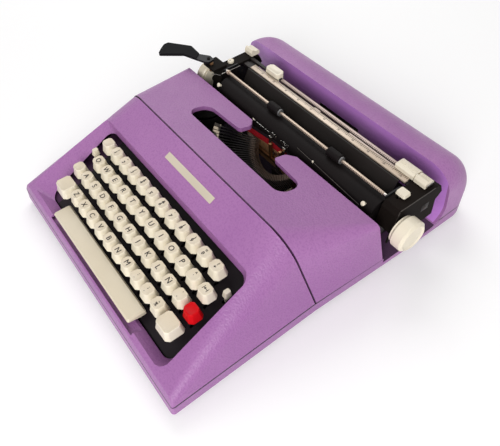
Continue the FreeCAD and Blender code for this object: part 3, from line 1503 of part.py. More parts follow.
def bail_rollers():
    """Two soft rollers on the bail wire."""
    rollers = []
    bore = d.bail_wire + d.running_fit
    away = d.bail_height - d.platen_height
    radius = Dim("(sqrt((%s) ^ 2 + (%s) ^ 2))" % (away.text, (d.bail_back - d.platen_back).text),
                 math.hypot(away.value, n.bail_back - n.platen_back))
    radius = radius - d.platen_r - d.ride_gap
    half = d.bail_roller_half
    outline = [(-half, bore), (-half, radius - 1), (-half + 1, radius), (half - 1, radius),
               (half, radius - 1), (half, bore)]
    for side in (-1, 1):
        corner = (CX(d.bail_middle + side * d.bail_roller_x), Y(d.bail_back), d.bail_height)
        rollers.append(turned("bail_roller", corner, outline))
    return node(fuse("bail_rollers", *rollers), "bail_rollers")


def padded_bar(label, back, deep, low, high):
    """Flat bar between the end covers, as a padded sketch."""
    made = body(label, (CX(-d.carriage_half + d.cover_left_wide), Y(back), low))
    outline = sketch(made, label + "_outline", "YZ_Plane")
    polygon(outline, [(0.0, 0.0), (deep, 0.0), (deep, high - 0.8), (deep - 0.8, high),
                      (0.8, high), (0.0, high - 0.8)])
    pad(made, label + "_pad", outline,
        d.carriage_half * 2 - d.cover_left_wide - d.cover_right_wide)
    return node(made, label)


def margin_parts():
    """Scale strip, margin rail and the two stops that slide on the rail."""
    padded_bar("scale_strip", d.scale_back, d.scale_deep, d.end_top - d.scale_high,
               d.scale_high)
    padded_bar("margin_rail", d.stop_rail_back, d.stop_rail_deep, d.stop_rail_low,
               d.stop_rail_high)
    front = n.stop_rail_back - n.ride_gap
    rear = n.stop_rail_back + n.stop_rail_deep + n.ride_gap
    low = n.end_top + n.ride_gap
    outline = [(front - 1.4, n.stop_rail_low), (front, n.stop_rail_low), (front, low),
               (rear, low), (rear, n.stop_rail_low), (rear + 1.4, n.stop_rail_low),
               (rear + 1.4, low), (rear + 4.2, low), (rear + 4.2, low + 4),
               (rear + 1.7, low + 5.5), (front - 1.2, low + 5.5), (front - 3.7, low + 4),
               (front - 3.7, low), (front - 1.4, low)]
    for label, left, right in (("margin_stop_left", -88, -60), ("margin_stop_right", 123, 146.2)):
        node(feature(label, side_prism(left, right - left, outline)), label)


def return_lever():
    """Line-space lever: a steel arm on its pivot and a wide moulded paddle."""
    pivot = (d.lever_pivot_x, d.lever_pivot_back)
    arm = body("arm_plate", (X(pivot[0]), Y(pivot[1]), d.lever_height))
    outline = sketch(arm, "arm_outline", "XY_Plane")
    polygon(outline, [(6.0, -4.0), (3.0, -6.5), (-10.0, -11.5), (-16.0, -3.0), (-4.0, 5.0),
                      (5.0, 4.5)])
    circle(outline, (0.0, 0.0), 2.0 + d.running_fit)
    pad(arm, "arm_pad", outline, d.lever_sheet - 1)
    node(arm, "return_lever_arm")
    paddle = body("paddle_plate", (X(pivot[0]), Y(pivot[1]), d.lever_height))
    outline = sketch(paddle, "paddle_outline", "XY_Plane")
    polygon(outline, [(-10.0, -11.5), (-28.0, -17.7), (-49.0, -41.5), (-57.0, -32.5),
                      (-d.lever_reach, -25.5), (-d.lever_reach, -19.5), (-36.0, -1.5),
                      (-16.0, -3.0)])
    pad(paddle, "paddle_pad", outline, d.lever_sheet)
    round_edges(paddle, "paddle_corners",
                lambda edge: abs(edge.Vertexes[0].X - edge.Vertexes[-1].X) < 0.01
                and abs(edge.Vertexes[0].Y - edge.Vertexes[-1].Y) < 0.01
                and edge.CenterOfMass.x < -35, PADDLE_CORNER)
    node(paddle, "return_lever_paddle")


def carriage_levers():
    """Paper release, the two carriage releases and the line-space selector."""
    left, right = plate_lefts()
    stem_x = right + n.end_thick + 0.6
    back, height = n.platen_back + RELEASE_BEHIND, RELEASE_HEIGHT
    stem = side_prism(stem_x, 1.5, [(back - 3, height - 3), (back + 3, height - 3),
                                    (back + 1.5, n.end_top + 1.3),
                                    (back - 1.5, n.end_top + 1.3)])
    hole = Part.makeCylinder(PIN_HOLE, 4, V(xn(stem_x) - 1, yn(back), height), V(1, 0, 0))
    top = n.end_top + 1.3
    button = loft(rounded_block_wire(153, back, top, 12, 10, 2.0),
                  rounded_block_wire(153, back, top + 3, 10.5, 8.5, 1.5))
    lever = stem.cut(hole).fuse(button)
    node(feature("paper_release_lever", lever), "paper_release_lever")
    low = n.end_top + n.ride_gap
    wide, deep = 14.0, 12.0
    for label, start, behind in (("carriage_release_left", -133, 2.5),
                                 ("carriage_release_right", 147.4, -4.5)):
        front = n.stop_rail_back + behind
        outline = [(front, low), (front + deep, low), (front + deep, low + 4),
                   (front + deep - 2, low + 5.5), (front + 5, low + 5.5),
                   (front + 4, low + 7.5), (front + 2, low + 7.5), (front, low + 4)]
        node(feature(label, side_prism(start, wide, outline)), label)
    button = rod("line_space_button", (X(BUTTON_X), Y(d.platen_back + BUTTON_BEHIND),
                                       d.end_top - 1.6), BUTTON_R, 4.0, "z")
    node(button, "line_space_button")


# Power
def mainspring_drum():
    """Drum that pulls the carriage, with rims for its band."""
    corner = (X(d.drum_x), Y(d.drum_back), d.drum_low)
    bore = d.fulcrum_r + d.running_fit
    outline = [(bore, 0.0), (d.drum_r, 0.0), (d.drum_r, 1.0), (d.drum_r - 1.5, 2.0),
               (d.drum_r - 1.5, d.drum_high - 2), (d.drum_r, d.drum_high - 1),
               (d.drum_r, d.drum_high), (bore, d.drum_high)]
    return node(turned_upright("mainspring_drum", corner, outline), "mainspring_drum")


def escapement_wheel():
    """Toothed wheel that lets the rack step past."""
    wheel = body("escapement_wheel", (X(d.wheel_x), Y(d.wheel_back), d.wheel_low))
    disc = sketch(wheel, "wheel_outline", "XY_Plane")
    circle(disc, (0.0, 0.0), d.wheel_r)
    circle(disc, (0.0, 0.0), d.fulcrum_r + d.running_fit)
    pad(wheel, "wheel_pad", disc, d.wheel_thick)
    gap = sketch(wheel, "tooth_gap", "XY_Plane", d.wheel_thick)
    polygon(gap, [(-1.2, d.wheel_r + 1), (0.9, d.wheel_r + 1), (0.6, d.wheel_r - 2.5),
                  (0.0, d.wheel_r - 2.5)])
    cutter = pocket(wheel, "first_gap", gap, d.wheel_thick)
    pattern = wheel.newObject("PartDesign::PolarPattern", "gaps")
    pattern.Originals = [cutter]
    pattern.Axis = (gap, ["N_Axis"])
    pattern.Angle = 360.0
    pattern.Occurrences = int(n.wheel_teeth)
    wheel.Tip = pattern
    return node(wheel, "escapement_wheel")


base_tray()
rubber_feet()
keyboard_housing()
rear_housing()
ribbon_cover()
side_frames()
key_mask_plate()
key_fulcrum_shaft()
key_lever_comb()
carriage_rails()
spool_cups()
guide_posts()
for row in KEY_ROWS:
    key_row(row)
single_key()
special_keys()
space_bar()
type_segment()
typebars()
type_guide()
ribbon_vibrator()
ribbon()
ribbon_spools()
carriage_frame()
end_covers()
platen()
platen_knobs()
feed_rollers()
paper_table()
paper_bail()
bail_rollers()
margin_parts()
return_lever()
carriage_levers()
mainspring_drum()
escapement_wheel()

doc.recompute()
for obj in doc.Objects:
    if "Invalid" in obj.State or "Error" in obj.State:
        raise RuntimeError("%s did not build: %s" % (obj.Name, obj.State))
for obj in NODES:
    if obj.Shape.isNull() or not obj.Shape.isValid():
        raise RuntimeError("%s has no valid shape" % obj.Label)

os.makedirs("parts", exist_ok=True)
for obj in NODES:
    obj.Shape.exportStep("parts/%s.step" % obj.Label)
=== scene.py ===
import math

import bmesh
import bpy
from mathutils import Matrix, Vector


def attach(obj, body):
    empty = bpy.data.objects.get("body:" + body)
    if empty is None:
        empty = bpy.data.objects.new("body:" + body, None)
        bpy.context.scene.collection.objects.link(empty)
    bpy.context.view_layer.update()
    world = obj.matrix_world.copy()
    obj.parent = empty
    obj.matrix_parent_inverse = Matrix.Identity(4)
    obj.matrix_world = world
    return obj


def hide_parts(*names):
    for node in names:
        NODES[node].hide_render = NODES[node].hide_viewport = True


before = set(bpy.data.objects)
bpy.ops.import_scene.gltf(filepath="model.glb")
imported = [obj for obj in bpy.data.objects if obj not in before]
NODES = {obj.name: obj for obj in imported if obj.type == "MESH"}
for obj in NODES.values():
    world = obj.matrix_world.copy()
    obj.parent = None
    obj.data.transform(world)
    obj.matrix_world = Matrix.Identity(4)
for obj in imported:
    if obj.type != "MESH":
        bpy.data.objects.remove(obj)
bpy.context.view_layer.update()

# Where the machine's middle and its front edge lie in the shared frame, in metres
MIDDLE_X = 0.008
FRONT_Y = -0.1925
MM = 0.001

# Measures of the machine in millimetres: across from its middle, back from its front edge
# and up from the table
MACHINE_TOP = 103.4
CASING_MIDDLE = (0.0, 192.0, 20.0)
TRAY_MIDDLE = (0.0, 192.0, 14.0)
COVER_MIDDLE = (0.0, 200.0, 60.0)
CASING_SPLIT = (19.1, 20.9)
COVER_FRONT, COVER_FALL = 150.0, 0.247
COVER_LIP = 10.0
SLOPE_FOOT, SLOPE_HEAD = (4.6, 29.0), (148.8, 103.5)
REAR_WALL, REAR_WALL_LEAN, REAR_WALL_LEVEL = 336.0, 8.2, 52.9
FIRST_KEY = (-82.5, 39.8, 54.5)
KEY_PITCH, ROW_STEP, ROW_RISE = 19.05, 19.1, 7.8
SMALL_CAP, LARGE_CAP, CAP_HIGH = (17.2, 15.8), (24.0, 21.0), 11.5
SPACE_BAR_LOW = 31.5
FAN_CENTRE, FAN_RADIUS = (7.0, 251.4, 64.5), 74.2
RIBBON_LOW, RIBBON_HIGH, RIBBON_SPLIT = 56.1, 68.8, 64.6
SPOOL_INSIDE = (55.45, 69.45)
RAIL_LEFT, RAIL_RIGHT = -118.5, 146.5
TICK, TICK_WIDE, FIRST_TICK, FIRST_TENTH = 2.18, 0.9, -324.0, -106.0
BAIL_BACK, BAIL_HEIGHT = 263.5, 88.0
GUIDE_FRONT, GUIDE_BACK = 243.7, 244.3


def at(x, y, z):
    """A point given in millimetres from the machine's middle, front edge and table."""
    return Vector((x * MM + MIDDLE_X, y * MM + FRONT_Y, z * MM))


# Colours, as they look in daylight
LILAC = (0.368, 0.158, 0.376)
LILAC_DEEP = (0.324, 0.130, 0.340)
LILAC_HOLLOW = (0.23, 0.078, 0.262)
# Painted light: a brighter, more vivid lilac for the wall behind the carriage, which lies deep in
# shade.
LILAC_BAY_LIGHT = (0.560, 0.235, 0.690)
JOINT_SHADE = (0.030, 0.008, 0.034)
# Dark primer for inner sides; the same colour is painted shade on the rear housing's sunk floor.
PRIMER_AND_SHADE = (0.016, 0.007, 0.018)
IVORY = (0.79, 0.725, 0.59)
IVORY_WARM = (0.75, 0.675, 0.53)
# Darker, warmer ivory for key tops: painted shade.
IVORY_TOP_SHADE = (0.66, 0.565, 0.42)
BLACK = (0.010, 0.008, 0.009)
SAND = (0.50, 0.40, 0.31)
INK = (0.020, 0.016, 0.018)
CLOTH_RED = (0.46, 0.012, 0.022)
CLOTH_BLACK = (0.016, 0.010, 0.014)
CLOTH_GAP = (0.006, 0.003, 0.004)


def grey(level):
    """A plain grey."""
    return (level,) * 3


# Patterns
def new_material(name, shine):
    """An empty node material with its shader and output."""
    material = bpy.data.materials.new(name)
    material.use_nodes = True
    tree = material.node_tree
    tree.nodes.clear()
    output = tree.nodes.new("ShaderNodeOutputMaterial")
    shader = tree.nodes.new("ShaderNodeBsdfPrincipled")
    shader.inputs["Specular IOR Level"].default_value = shine
    tree.links.new(shader.outputs["BSDF"], output.inputs["Surface"])
    return material, tree, shader


def place_on(tree):
    """Where a point is on the machine, in metres in the shared frame."""
    return tree.nodes.new("ShaderNodeTexCoord").outputs["Object"]


def normal_on(tree):
    """The way the surface faces."""
    return tree.nodes.new("ShaderNodeTexCoord").outputs["Normal"]


def noise(tree, scale, detail=2.0, rough=0.55, stretch=None):
    """A noise pattern fixed to the machine."""
    pattern = tree.nodes.new("ShaderNodeTexNoise")
    pattern.inputs["Scale"].default_value = scale
    pattern.inputs["Detail"].default_value = detail
    pattern.inputs["Roughness"].default_value = rough
    source = place_on(tree)
    if stretch:
        mapping = tree.nodes.new("ShaderNodeMapping")
        mapping.inputs["Scale"].default_value = stretch
        tree.links.new(source, mapping.inputs["Vector"])
        source = mapping.outputs["Vector"]
    tree.links.new(source, pattern.inputs["Vector"])
    return pattern.outputs["Fac"]


def ramp(tree, value, low, high, first=grey(0.0), last=grey(1.0)):
    """Colours between two values of a pattern."""
    colours = tree.nodes.new("ShaderNodeValToRGB")
    for stop, position, colour in zip(colours.color_ramp.elements, (low, high), (first, last)):
        stop.position = position
        stop.color = (*colour, 1)
    tree.links.new(value, colours.inputs["Fac"])
    return colours.outputs["Color"]


def mix(tree, factor, first, second):
    """Two colours mixed by a pattern. Each is a colour or a socket."""
    blend = tree.nodes.new("ShaderNodeMix")
    blend.data_type = "RGBA"
    for socket, value in ((blend.inputs[6], first), (blend.inputs[7], second)):
        if isinstance(value, tuple):
            socket.default_value = (*value, 1)
        else:
            tree.links.new(value, socket)
    tree.links.new(factor, blend.inputs[0])
    return blend.outputs[2]


def reckon(tree, sort, first, second=0.0):
    """One step of arithmetic. Each term is a number or a socket."""
    step = tree.nodes.new("ShaderNodeMath")
    step.operation = sort
    for socket, value in zip(step.inputs, (first, second)):
        if isinstance(value, (int, float)):
            socket.default_value = value
        else:
            tree.links.new(value, socket)
    return step.outputs[0]


def reckon_points(tree, sort, first, second=None):
    """One step of arithmetic with points. Each is a fixed point or a socket."""
    step = tree.nodes.new("ShaderNodeVectorMath")
    step.operation = sort
    for socket, value in zip(step.inputs, (first, second)):
        if isinstance(value, Vector):
            socket.default_value = value
        elif value:
            tree.links.new(value, socket)
    return step.outputs["Vector" if sort == "SUBTRACT" else "Value"]


def more(tree, value, limit):
    """One where a value is above a limit, else nought."""
    return reckon(tree, "GREATER_THAN", value, limit)


def less(tree, value, limit):
    """One where a value is below a limit, else nought."""
    return reckon(tree, "LESS_THAN", value, limit)


def both(tree, first, second):
    """Where two patterns both show. A plain number weakens the other."""
    return reckon(tree, "MULTIPLY", first, second)


def either(tree, first, second):
    """Where at least one of two patterns shows."""
    return reckon(tree, "MAXIMUM", first, second)


def between(tree, value, low, high):
    """One where a value lies between two limits, else nought."""
    return both(tree, more(tree, value, low), less(tree, value, high))


def parts_of(tree, source):
    """The three numbers of a point or a direction."""
    parts = tree.nodes.new("ShaderNodeSeparateXYZ")
    tree.links.new(source, parts.inputs[0])
    return parts.outputs


def axis_of(tree, name):
    """One coordinate of a point on the machine, in millimetres."""
    start = {"X": MIDDLE_X, "Y": FRONT_Y, "Z": 0.0}[name]
    value = reckon(tree, "SUBTRACT", parts_of(tree, place_on(tree))[name], start)
    return reckon(tree, "MULTIPLY", value, 1000.0)


def facing(tree, name):
    """How squarely the surface faces along one direction."""
    return parts_of(tree, normal_on(tree))[name]


def facing_in(tree, middle):
    """One where a casing part faces its own middle, which is its inner side."""
    away = reckon_points(tree, "SUBTRACT", place_on(tree), at(*middle))
    return less(tree, reckon_points(tree, "DOT_PRODUCT", normal_on(tree), away), 0.0)


def blotches(tree, scale, first, second):
    """Two colours that run into each other in soft patches."""
    return mix(tree, ramp(tree, noise(tree, scale), 0.35, 0.7), first, second)


def uneven(tree, pattern, smooth, rough):
    """A roughness that varies with a pattern."""
    return ramp(tree, pattern, 0.3, 0.7, grey(smooth), grey(rough))


def dress(tree, shader, colour, rough, height, strength, depth):
    """Colour, roughness and fine relief go to the shader. The depth is in metres."""
    relief = tree.nodes.new("ShaderNodeBump")
    relief.inputs["Strength"].default_value = strength
    relief.inputs["Distance"].default_value = depth
    tree.links.new(height, relief.inputs["Height"])
    for source, name in ((colour, "Base Color"), (rough, "Roughness"),
                         (relief.outputs["Normal"], "Normal")):
        tree.links.new(source, shader.inputs[name])


# Where a second colour shows
def tray_inside(tree):
    """The inner side of the tray."""
    return facing_in(tree, TRAY_MIDDLE)


def cover_inside(tree):
    """The underside of the cover, and its walls from a little below the top."""
    fall = both(tree, reckon(tree, "SUBTRACT", axis_of(tree, "Y"), COVER_FRONT), COVER_FALL)
    top = reckon(tree, "SUBTRACT", MACHINE_TOP, fall)
    depth = reckon(tree, "SUBTRACT", top, axis_of(tree, "Z"))
    walls = both(tree, facing_in(tree, COVER_MIDDLE), more(tree, depth, COVER_LIP))
    return either(tree, walls, less(tree, facing(tree, "Z"), -0.5))


def keyboard_inside(tree):
    """The underside of the keyboard housing, and its faces behind the keys."""
    behind = more(tree, axis_of(tree, "Y"), 110.0)
    backwards = both(tree, more(tree, facing(tree, "Y"), 0.3), behind)
    return either(tree, less(tree, facing(tree, "Z"), -0.2), backwards)


def rear_underside_and_floor_shade(tree):
    """The underside of the rear housing, in primer, and the sunk floor beside the carriage,
    darkened as painted shade.
    """
    up = facing(tree, "Z")
    # Painted shade: the low floor beside the carriage takes most of the dark colour.
    floor = both(tree, more(tree, up, 0.9), less(tree, axis_of(tree, "Z"), 30.0))
    return either(tree, both(tree, floor, 0.85), less(tree, up, -0.6))


def rear_bay_painted_light(tree):
    """The wall behind the carriage, where the lilac is painted brighter and more vivid as painted
    light.
    """
    forwards = less(tree, facing(tree, "Y"), -0.5)
    wall = both(tree, forwards, between(tree, axis_of(tree, "Y"), 300.0, 350.0))
    return both(tree, between(tree, axis_of(tree, "X"), -163.0, 163.0), wall)


def every(tree, pitch, wide):
    """Fine marks across the machine, one to each step of the pitch."""
    along = reckon(tree, "SUBTRACT", axis_of(tree, "X"), FIRST_TICK)
    return less(tree, reckon(tree, "FLOORED_MODULO", along, pitch), wide)


def scale_ticks(tree):
    """Fine marks along the rear half of the scale, each fifth one longer."""
    back = axis_of(tree, "Y")
    short = both(tree, every(tree, TICK, TICK_WIDE), between(tree, back, 293.9, 296.4))
    long = both(tree, every(tree, 5 * TICK, TICK_WIDE), between(tree, back, 292.9, 296.4))
    return both(tree, either(tree, short, long), 0.8)


def bail_ticks(tree):
    """Fine marks along the front half of the bail."""
    front = less(tree, axis_of(tree, "Y"), 262.9)
    return both(tree, both(tree, every(tree, TICK, 0.8), front), 0.6)


def wound_ribbon(tree):
    """The wound cloth between the two flanges of a spool."""
    return between(tree, axis_of(tree, "Z"), *SPOOL_INSIDE)


def well_edge_shade(tree):
    """The outer edges of the mask plate, painted dark lilac as painted shade of the casing's wall
    beside the keys.
    """
    left = less(tree, axis_of(tree, "X"), -116.0)
    rear = more(tree, axis_of(tree, "Y"), 116.5)
    return both(tree, either(tree, left, rear), 0.75)


def slug_ends_and_glints(tree):
    """The type slugs at the free ends of the typebars, lighter metal, bright in patches as painted
    highlights.
    """
    away = reckon_points(tree, "DISTANCE", place_on(tree), at(*FAN_CENTRE))
    # Patches of painted highlight; slugs right of 30 mm take the lighter colour throughout.
    glints = ramp(tree, noise(tree, 150.0, 0.0), 0.46, 0.56, grey(0.04))
    right = more(tree, axis_of(tree, "X"), 30.0)
    return both(tree, more(tree, away, FAN_RADIUS * MM), either(tree, glints, right))


def painted_glints(tree):
    """Small bright spots on dark wire: painted highlights."""
    return ramp(tree, noise(tree, 420.0, 1.0), 0.50, 0.60)


# Finishes
def finish(name, colours, rough, metal=0.0, shine=0.5, grain=900.0, depth=0.00003,
           stretch=None, marks=None):
    """A surface with soft colour variation, uneven roughness and fine relief.

    colours and rough give two values each, which run into each other. marks gives a further
    colour and where it shows.
    """
    material, tree, shader = new_material(name, shine)
    shader.inputs["Metallic"].default_value = metal
    fine = noise(tree, grain, 3.0, 0.6, stretch)
    tint = blotches(tree, 14.0, *colours)
    if marks:
        colour, where = marks
        tint = mix(tree, where(tree), tint, colour)
    dress(tree, shader, tint, uneven(tree, fine, *rough), fine, 0.5, depth)
    return material


def lilac_paint(name, inside, bay=None):
    """Textured lilac paint: fine pebbles like leather, and dark primer on the inner side; in the
    rear housing the same dark colour is painted shade on the sunk floor.

    bay says where the wall behind the carriage is painted brighter and more vivid, as painted
    light for a wall deep in shade.
    """
    material, tree, shader = new_material(name, 0.40)
    pebbles = noise(tree, 560.0, 2.0, 0.5)
    colours = blotches(tree, 9.0, LILAC, LILAC_DEEP)
    hollows = ramp(tree, pebbles, 0.36, 0.52, grey(0.34), grey(0.0))
    colours = mix(tree, hollows, colours, LILAC_HOLLOW)
    # Painted light: the wall behind the carriage is made brighter and more vivid.
    if bay:
        colours = mix(tree, bay(tree), colours, LILAC_BAY_LIGHT)
    outer = reckon(tree, "SUBTRACT", 1.0, facing_in(tree, CASING_MIDDLE))
    joint = both(tree, between(tree, axis_of(tree, "Z"), *CASING_SPLIT), outer)
    colours = mix(tree, joint, colours, JOINT_SHADE)
    # Primer on inner sides, and in the rear housing painted shade on the sunk floor.
    primer_and_shade = inside(tree)
    colours = mix(tree, primer_and_shade, colours, PRIMER_AND_SHADE)
    rough = mix(tree, primer_and_shade, uneven(tree, noise(tree, 60.0), 0.34, 0.43), grey(0.9))
    dress(tree, shader, colours, rough, pebbles, 0.9, 0.0006)
    return material


def ribbon_cloth():
    """Woven ribbon, black above and red below."""
    material, tree, shader = new_material("ribbon_cloth", 0.15)
    wave = both(tree, noise(tree, 500.0), 0.3)
    height = reckon(tree, "ADD", axis_of(tree, "Z"), wave)
    colours = mix(tree, more(tree, height, RIBBON_SPLIT), CLOTH_RED, CLOTH_BLACK)
    weave = noise(tree, 2600.0, 1.0, 0.5, (1.0, 1.0, 2.2))
    gaps = ramp(tree, weave, 0.35, 0.65, last=grey(0.35))
    colours = mix(tree, gaps, colours, CLOTH_GAP)
    dress(tree, shader, colours, uneven(tree, weave, 0.7, 0.9), weave, 0.5, 0.00005)
    return material


def key_ivory():
    """Ivory plastic; faces that point up are painted a little darker and warmer, as painted shade.
    """
    material, tree, shader = new_material("key_ivory", 0.5)
    # Painted shade: upward faces are darker and warmer.
    top_shade = ramp(tree, facing(tree, "Z"), 0.80, 0.96, last=grey(0.9))
    colours = mix(tree, top_shade, blotches(tree, 30.0, IVORY, IVORY_WARM), IVORY_TOP_SHADE)
    fine = noise(tree, 900.0)
    dress(tree, shader, colours, uneven(tree, fine, 0.27, 0.33), fine, 0.25, 0.000006)
    return material


LOOKS = {
    "seam_shade": dict(colours=((0.050, 0.014, 0.050), (0.035, 0.010, 0.036)),
                       rough=(0.5, 0.6), shine=0.2, grain=400),
    "ivory_plastic": dict(colours=(IVORY, (0.72, 0.64, 0.49)), rough=(0.28, 0.38), grain=600,
                          depth=0.000012),
    "bar_ivory": dict(colours=((0.69, 0.615, 0.48), (0.64, 0.56, 0.42)), rough=(0.32, 0.42),
                      grain=500, depth=0.00001),
    "scarlet_plastic": dict(colours=((0.62, 0.006, 0.010), (0.52, 0.003, 0.006)),
                            rough=(0.30, 0.38), shine=0.08, grain=400, depth=0.000008),
    "black_paint": dict(colours=(BLACK, (0.018, 0.013, 0.011)), rough=(0.42, 0.58),
                        shine=0.22),
    # The mask plate's outer edges are dark lilac: painted shade.
    "mask_paint": dict(colours=((0.012, 0.007, 0.011), (0.007, 0.005, 0.006)),
                       rough=(0.50, 0.62), shine=0.2, grain=1100, depth=0.00005,
                       marks=((0.060, 0.022, 0.062), well_edge_shade)),
    "graphite_plastic": dict(colours=((0.009, 0.009, 0.010), (0.007, 0.007, 0.008)),
                             rough=(0.58, 0.68), shine=0.05, grain=1400, depth=0.000015),
    "cover_plastic": dict(colours=((0.009, 0.006, 0.005), (0.006, 0.005, 0.004)),
                          rough=(0.58, 0.68), shine=0.05, grain=1300, depth=0.000012),
    "platen_rubber": dict(colours=((0.008, 0.006, 0.006), (0.006, 0.005, 0.005)),
                          rough=(0.5, 0.60), shine=0.08, grain=700, depth=0.00002),
    "foot_rubber": dict(colours=((0.020, 0.019, 0.019), BLACK), rough=(0.65, 0.8), shine=0.2,
                        grain=400),
    "bright_steel": dict(colours=((0.50, 0.47, 0.43), (0.42, 0.40, 0.37)), rough=(0.20, 0.34),
                         metal=1.0, stretch=(0.2, 1.0, 1.0)),
    "dark_steel": dict(colours=((0.085, 0.075, 0.068), (0.05, 0.045, 0.042)),
                       rough=(0.30, 0.44), metal=1.0, stretch=(1.0, 0.2, 1.0)),
    "gun_steel": dict(colours=((0.020, 0.020, 0.021), (0.012, 0.012, 0.013)),
                      rough=(0.36, 0.48), metal=0.6, shine=0.25),
    # Slug ends are lighter metal with patches of painted highlight.
    "typebar_steel": dict(colours=((0.030, 0.027, 0.026), (0.016, 0.014, 0.014)),
                          rough=(0.30, 0.42), metal=0.8, shine=0.3,
                          marks=((0.50, 0.42, 0.32), slug_ends_and_glints)),
    "table_paint": dict(colours=((0.013, 0.010, 0.009), (0.009, 0.007, 0.006)),
                        rough=(0.42, 0.5), shine=0.18),
    "bronze_steel": dict(colours=((0.30, 0.16, 0.075), (0.20, 0.11, 0.055)),
                         rough=(0.34, 0.48), metal=1.0, grain=800),
    "segment_steel": dict(colours=((0.26, 0.19, 0.145), (0.16, 0.115, 0.088)),
                          rough=(0.34, 0.48), metal=0.7, grain=1200, depth=0.00001),
    # Copper plate behind the segment, coloured brighter than the bronze as painted light for its
    # shadowed place.
    "copper_wall": dict(colours=((0.60, 0.34, 0.17), (0.34, 0.18, 0.085)), rough=(0.36, 0.48),
                        metal=0.3, grain=700),
    # Dark wire with small bright spots: painted highlights.
    "wire_with_painted_glints": dict(colours=((0.020, 0.018, 0.018), (0.012, 0.011, 0.011)),
                      rough=(0.18, 0.26), metal=1.0, depth=0.000004,
                      marks=((0.80, 0.78, 0.74), painted_glints)),
    "scale_metal": dict(colours=(SAND, (0.61, 0.51, 0.41)), rough=(0.36, 0.46), metal=0.25,
                        stretch=(0.15, 1.0, 1.0), marks=(INK, scale_ticks)),
    "bail_metal": dict(colours=(SAND, (0.48, 0.37, 0.28)), rough=(0.30, 0.42), metal=0.35,
                       stretch=(0.15, 1.0, 1.0), marks=(INK, bail_ticks)),
    "rack_metal": dict(colours=((0.47, 0.375, 0.335), (0.38, 0.29, 0.25)), rough=(0.34, 0.46),
                       metal=0.4),
    "spool_metal": dict(colours=((0.16, 0.15, 0.14), (0.10, 0.095, 0.09)), rough=(0.30, 0.42),
                        metal=0.9, marks=((0.012, 0.007, 0.010), wound_ribbon)),
    "legend_ink": dict(colours=(INK, BLACK), rough=(0.45, 0.6), shine=0.2, grain=400),
    "collar_grey": dict(colours=(grey(0.16), grey(0.10)), rough=(0.35, 0.45), metal=0.5,
                        grain=400),
    "cover_edge": dict(colours=((0.05, 0.042, 0.036), (0.03, 0.026, 0.022)),
                       rough=(0.35, 0.45), metal=0.5),
    "badge_metal": dict(colours=((0.60, 0.53, 0.42), (0.54, 0.47, 0.37)), rough=(0.30, 0.42),
                        metal=0.2, grain=1200, depth=0.00001, stretch=(0.08, 1.0, 1.0)),
}
MATERIALS = {name: finish(name, **look) for name, look in LOOKS.items()}
for name, *sides in (("tray_paint", tray_inside), ("cover_paint", cover_inside),
                     ("keyboard_paint", keyboard_inside), ("rear_paint", rear_underside_and_floor_shade, rear_bay_painted_light)):
    MATERIALS[name] = lilac_paint(name, *sides)
MATERIALS["key_ivory"] = key_ivory()
MATERIALS["ribbon_cloth"] = ribbon_cloth()

COVERINGS = {
    "tray_paint": ["base_tray"],
    "keyboard_paint": ["keyboard_housing"],
    "cover_paint": ["ribbon_cover"],
    "rear_paint": ["rear_housing"],
    "ivory_plastic": ["margin_release_key", "ribbon_selector", "platen_knobs",
                      "margin_stop_left", "margin_stop_right", "paper_release_lever",
                      "carriage_release_left", "carriage_release_right", "line_space_button",
                      "backspace_key", "shift_lock_key", "shift_key_left", "shift_key_right",
                      "number_keys", "upper_letter_keys", "home_letter_keys",
                      "lower_letter_keys", "key_cap_g"],
    "bar_ivory": ["space_bar"],
    "scarlet_plastic": ["tab_key"],
    "mask_paint": ["key_mask_plate"],
    "black_paint": ["spool_cups", "side_frames", "carriage_frame", "carriage_rails",
                    "guide_posts", "margin_rail", "key_lever_comb"],
    "foot_rubber": ["rubber_feet"],
    "cover_plastic": ["end_cover_left", "end_cover_right"],
    "graphite_plastic": ["return_lever_paddle"],
    "platen_rubber": ["platen", "feed_roller_front", "feed_roller_rear", "bail_rollers"],
    "ribbon_cloth": ["ribbon"],
    "bright_steel": ["ribbon_vibrator", "key_fulcrum_shaft", "escapement_wheel"],
    "spool_metal": ["ribbon_spool_left", "ribbon_spool_right"],
    "gun_steel": ["return_lever_arm", "paper_bail"],
    "typebar_steel": ["typebars", "typebar_g"],
    "table_paint": ["paper_table"],
    "segment_steel": ["type_segment"],
    "dark_steel": ["number_levers", "key_lever_g", "upper_letter_levers", "home_letter_levers",
                   "lower_letter_levers", "mainspring_drum"],
    "bronze_steel": ["type_guide"],
    "scale_metal": ["scale_strip"],
}
for covering, names in COVERINGS.items():
    for name in names:
        mesh = NODES[name].data
        mesh.materials.clear()
        mesh.materials.append(MATERIALS[covering])


# Bench tools
def let_go():
    """Nothing stays picked, so that the next step only works on its own piece."""
    bpy.ops.object.select_all(action="DESELECT")


def pick(*pieces):
    """Only these pieces are picked, and the first is the one that is worked on."""
    let_go()
    for piece in pieces:
        piece.select_set(True)
    bpy.context.view_layer.objects.active = pieces[0]


def settle(piece):
    """The piece's place goes into its mesh."""
    pick(piece)
    bpy.ops.object.transform_apply(location=True, rotation=True, scale=True)
    return piece


def open_mesh():
    """The mesh of the piece that is worked on can now be changed."""
    bpy.ops.object.mode_set(mode="EDIT")


def close_mesh():
    """The mesh is done for now."""
    bpy.ops.object.mode_set(mode="OBJECT")


def pick_all():
    """Picks the whole open mesh."""
    bpy.ops.mesh.select_all(action="SELECT")


def pick_faces(piece, test):
    """Picks the open mesh's faces whose middle and normal pass the test."""
    bpy.ops.mesh.select_mode(type="FACE")
    bpy.ops.mesh.select_all(action="DESELECT")
    shape = bmesh.from_edit_mesh(piece.data)
    for face in shape.faces:
        if test(face.calc_center_median(), face.normal):
            face.select_set(True)
    bmesh.update_edit_mesh(piece.data)


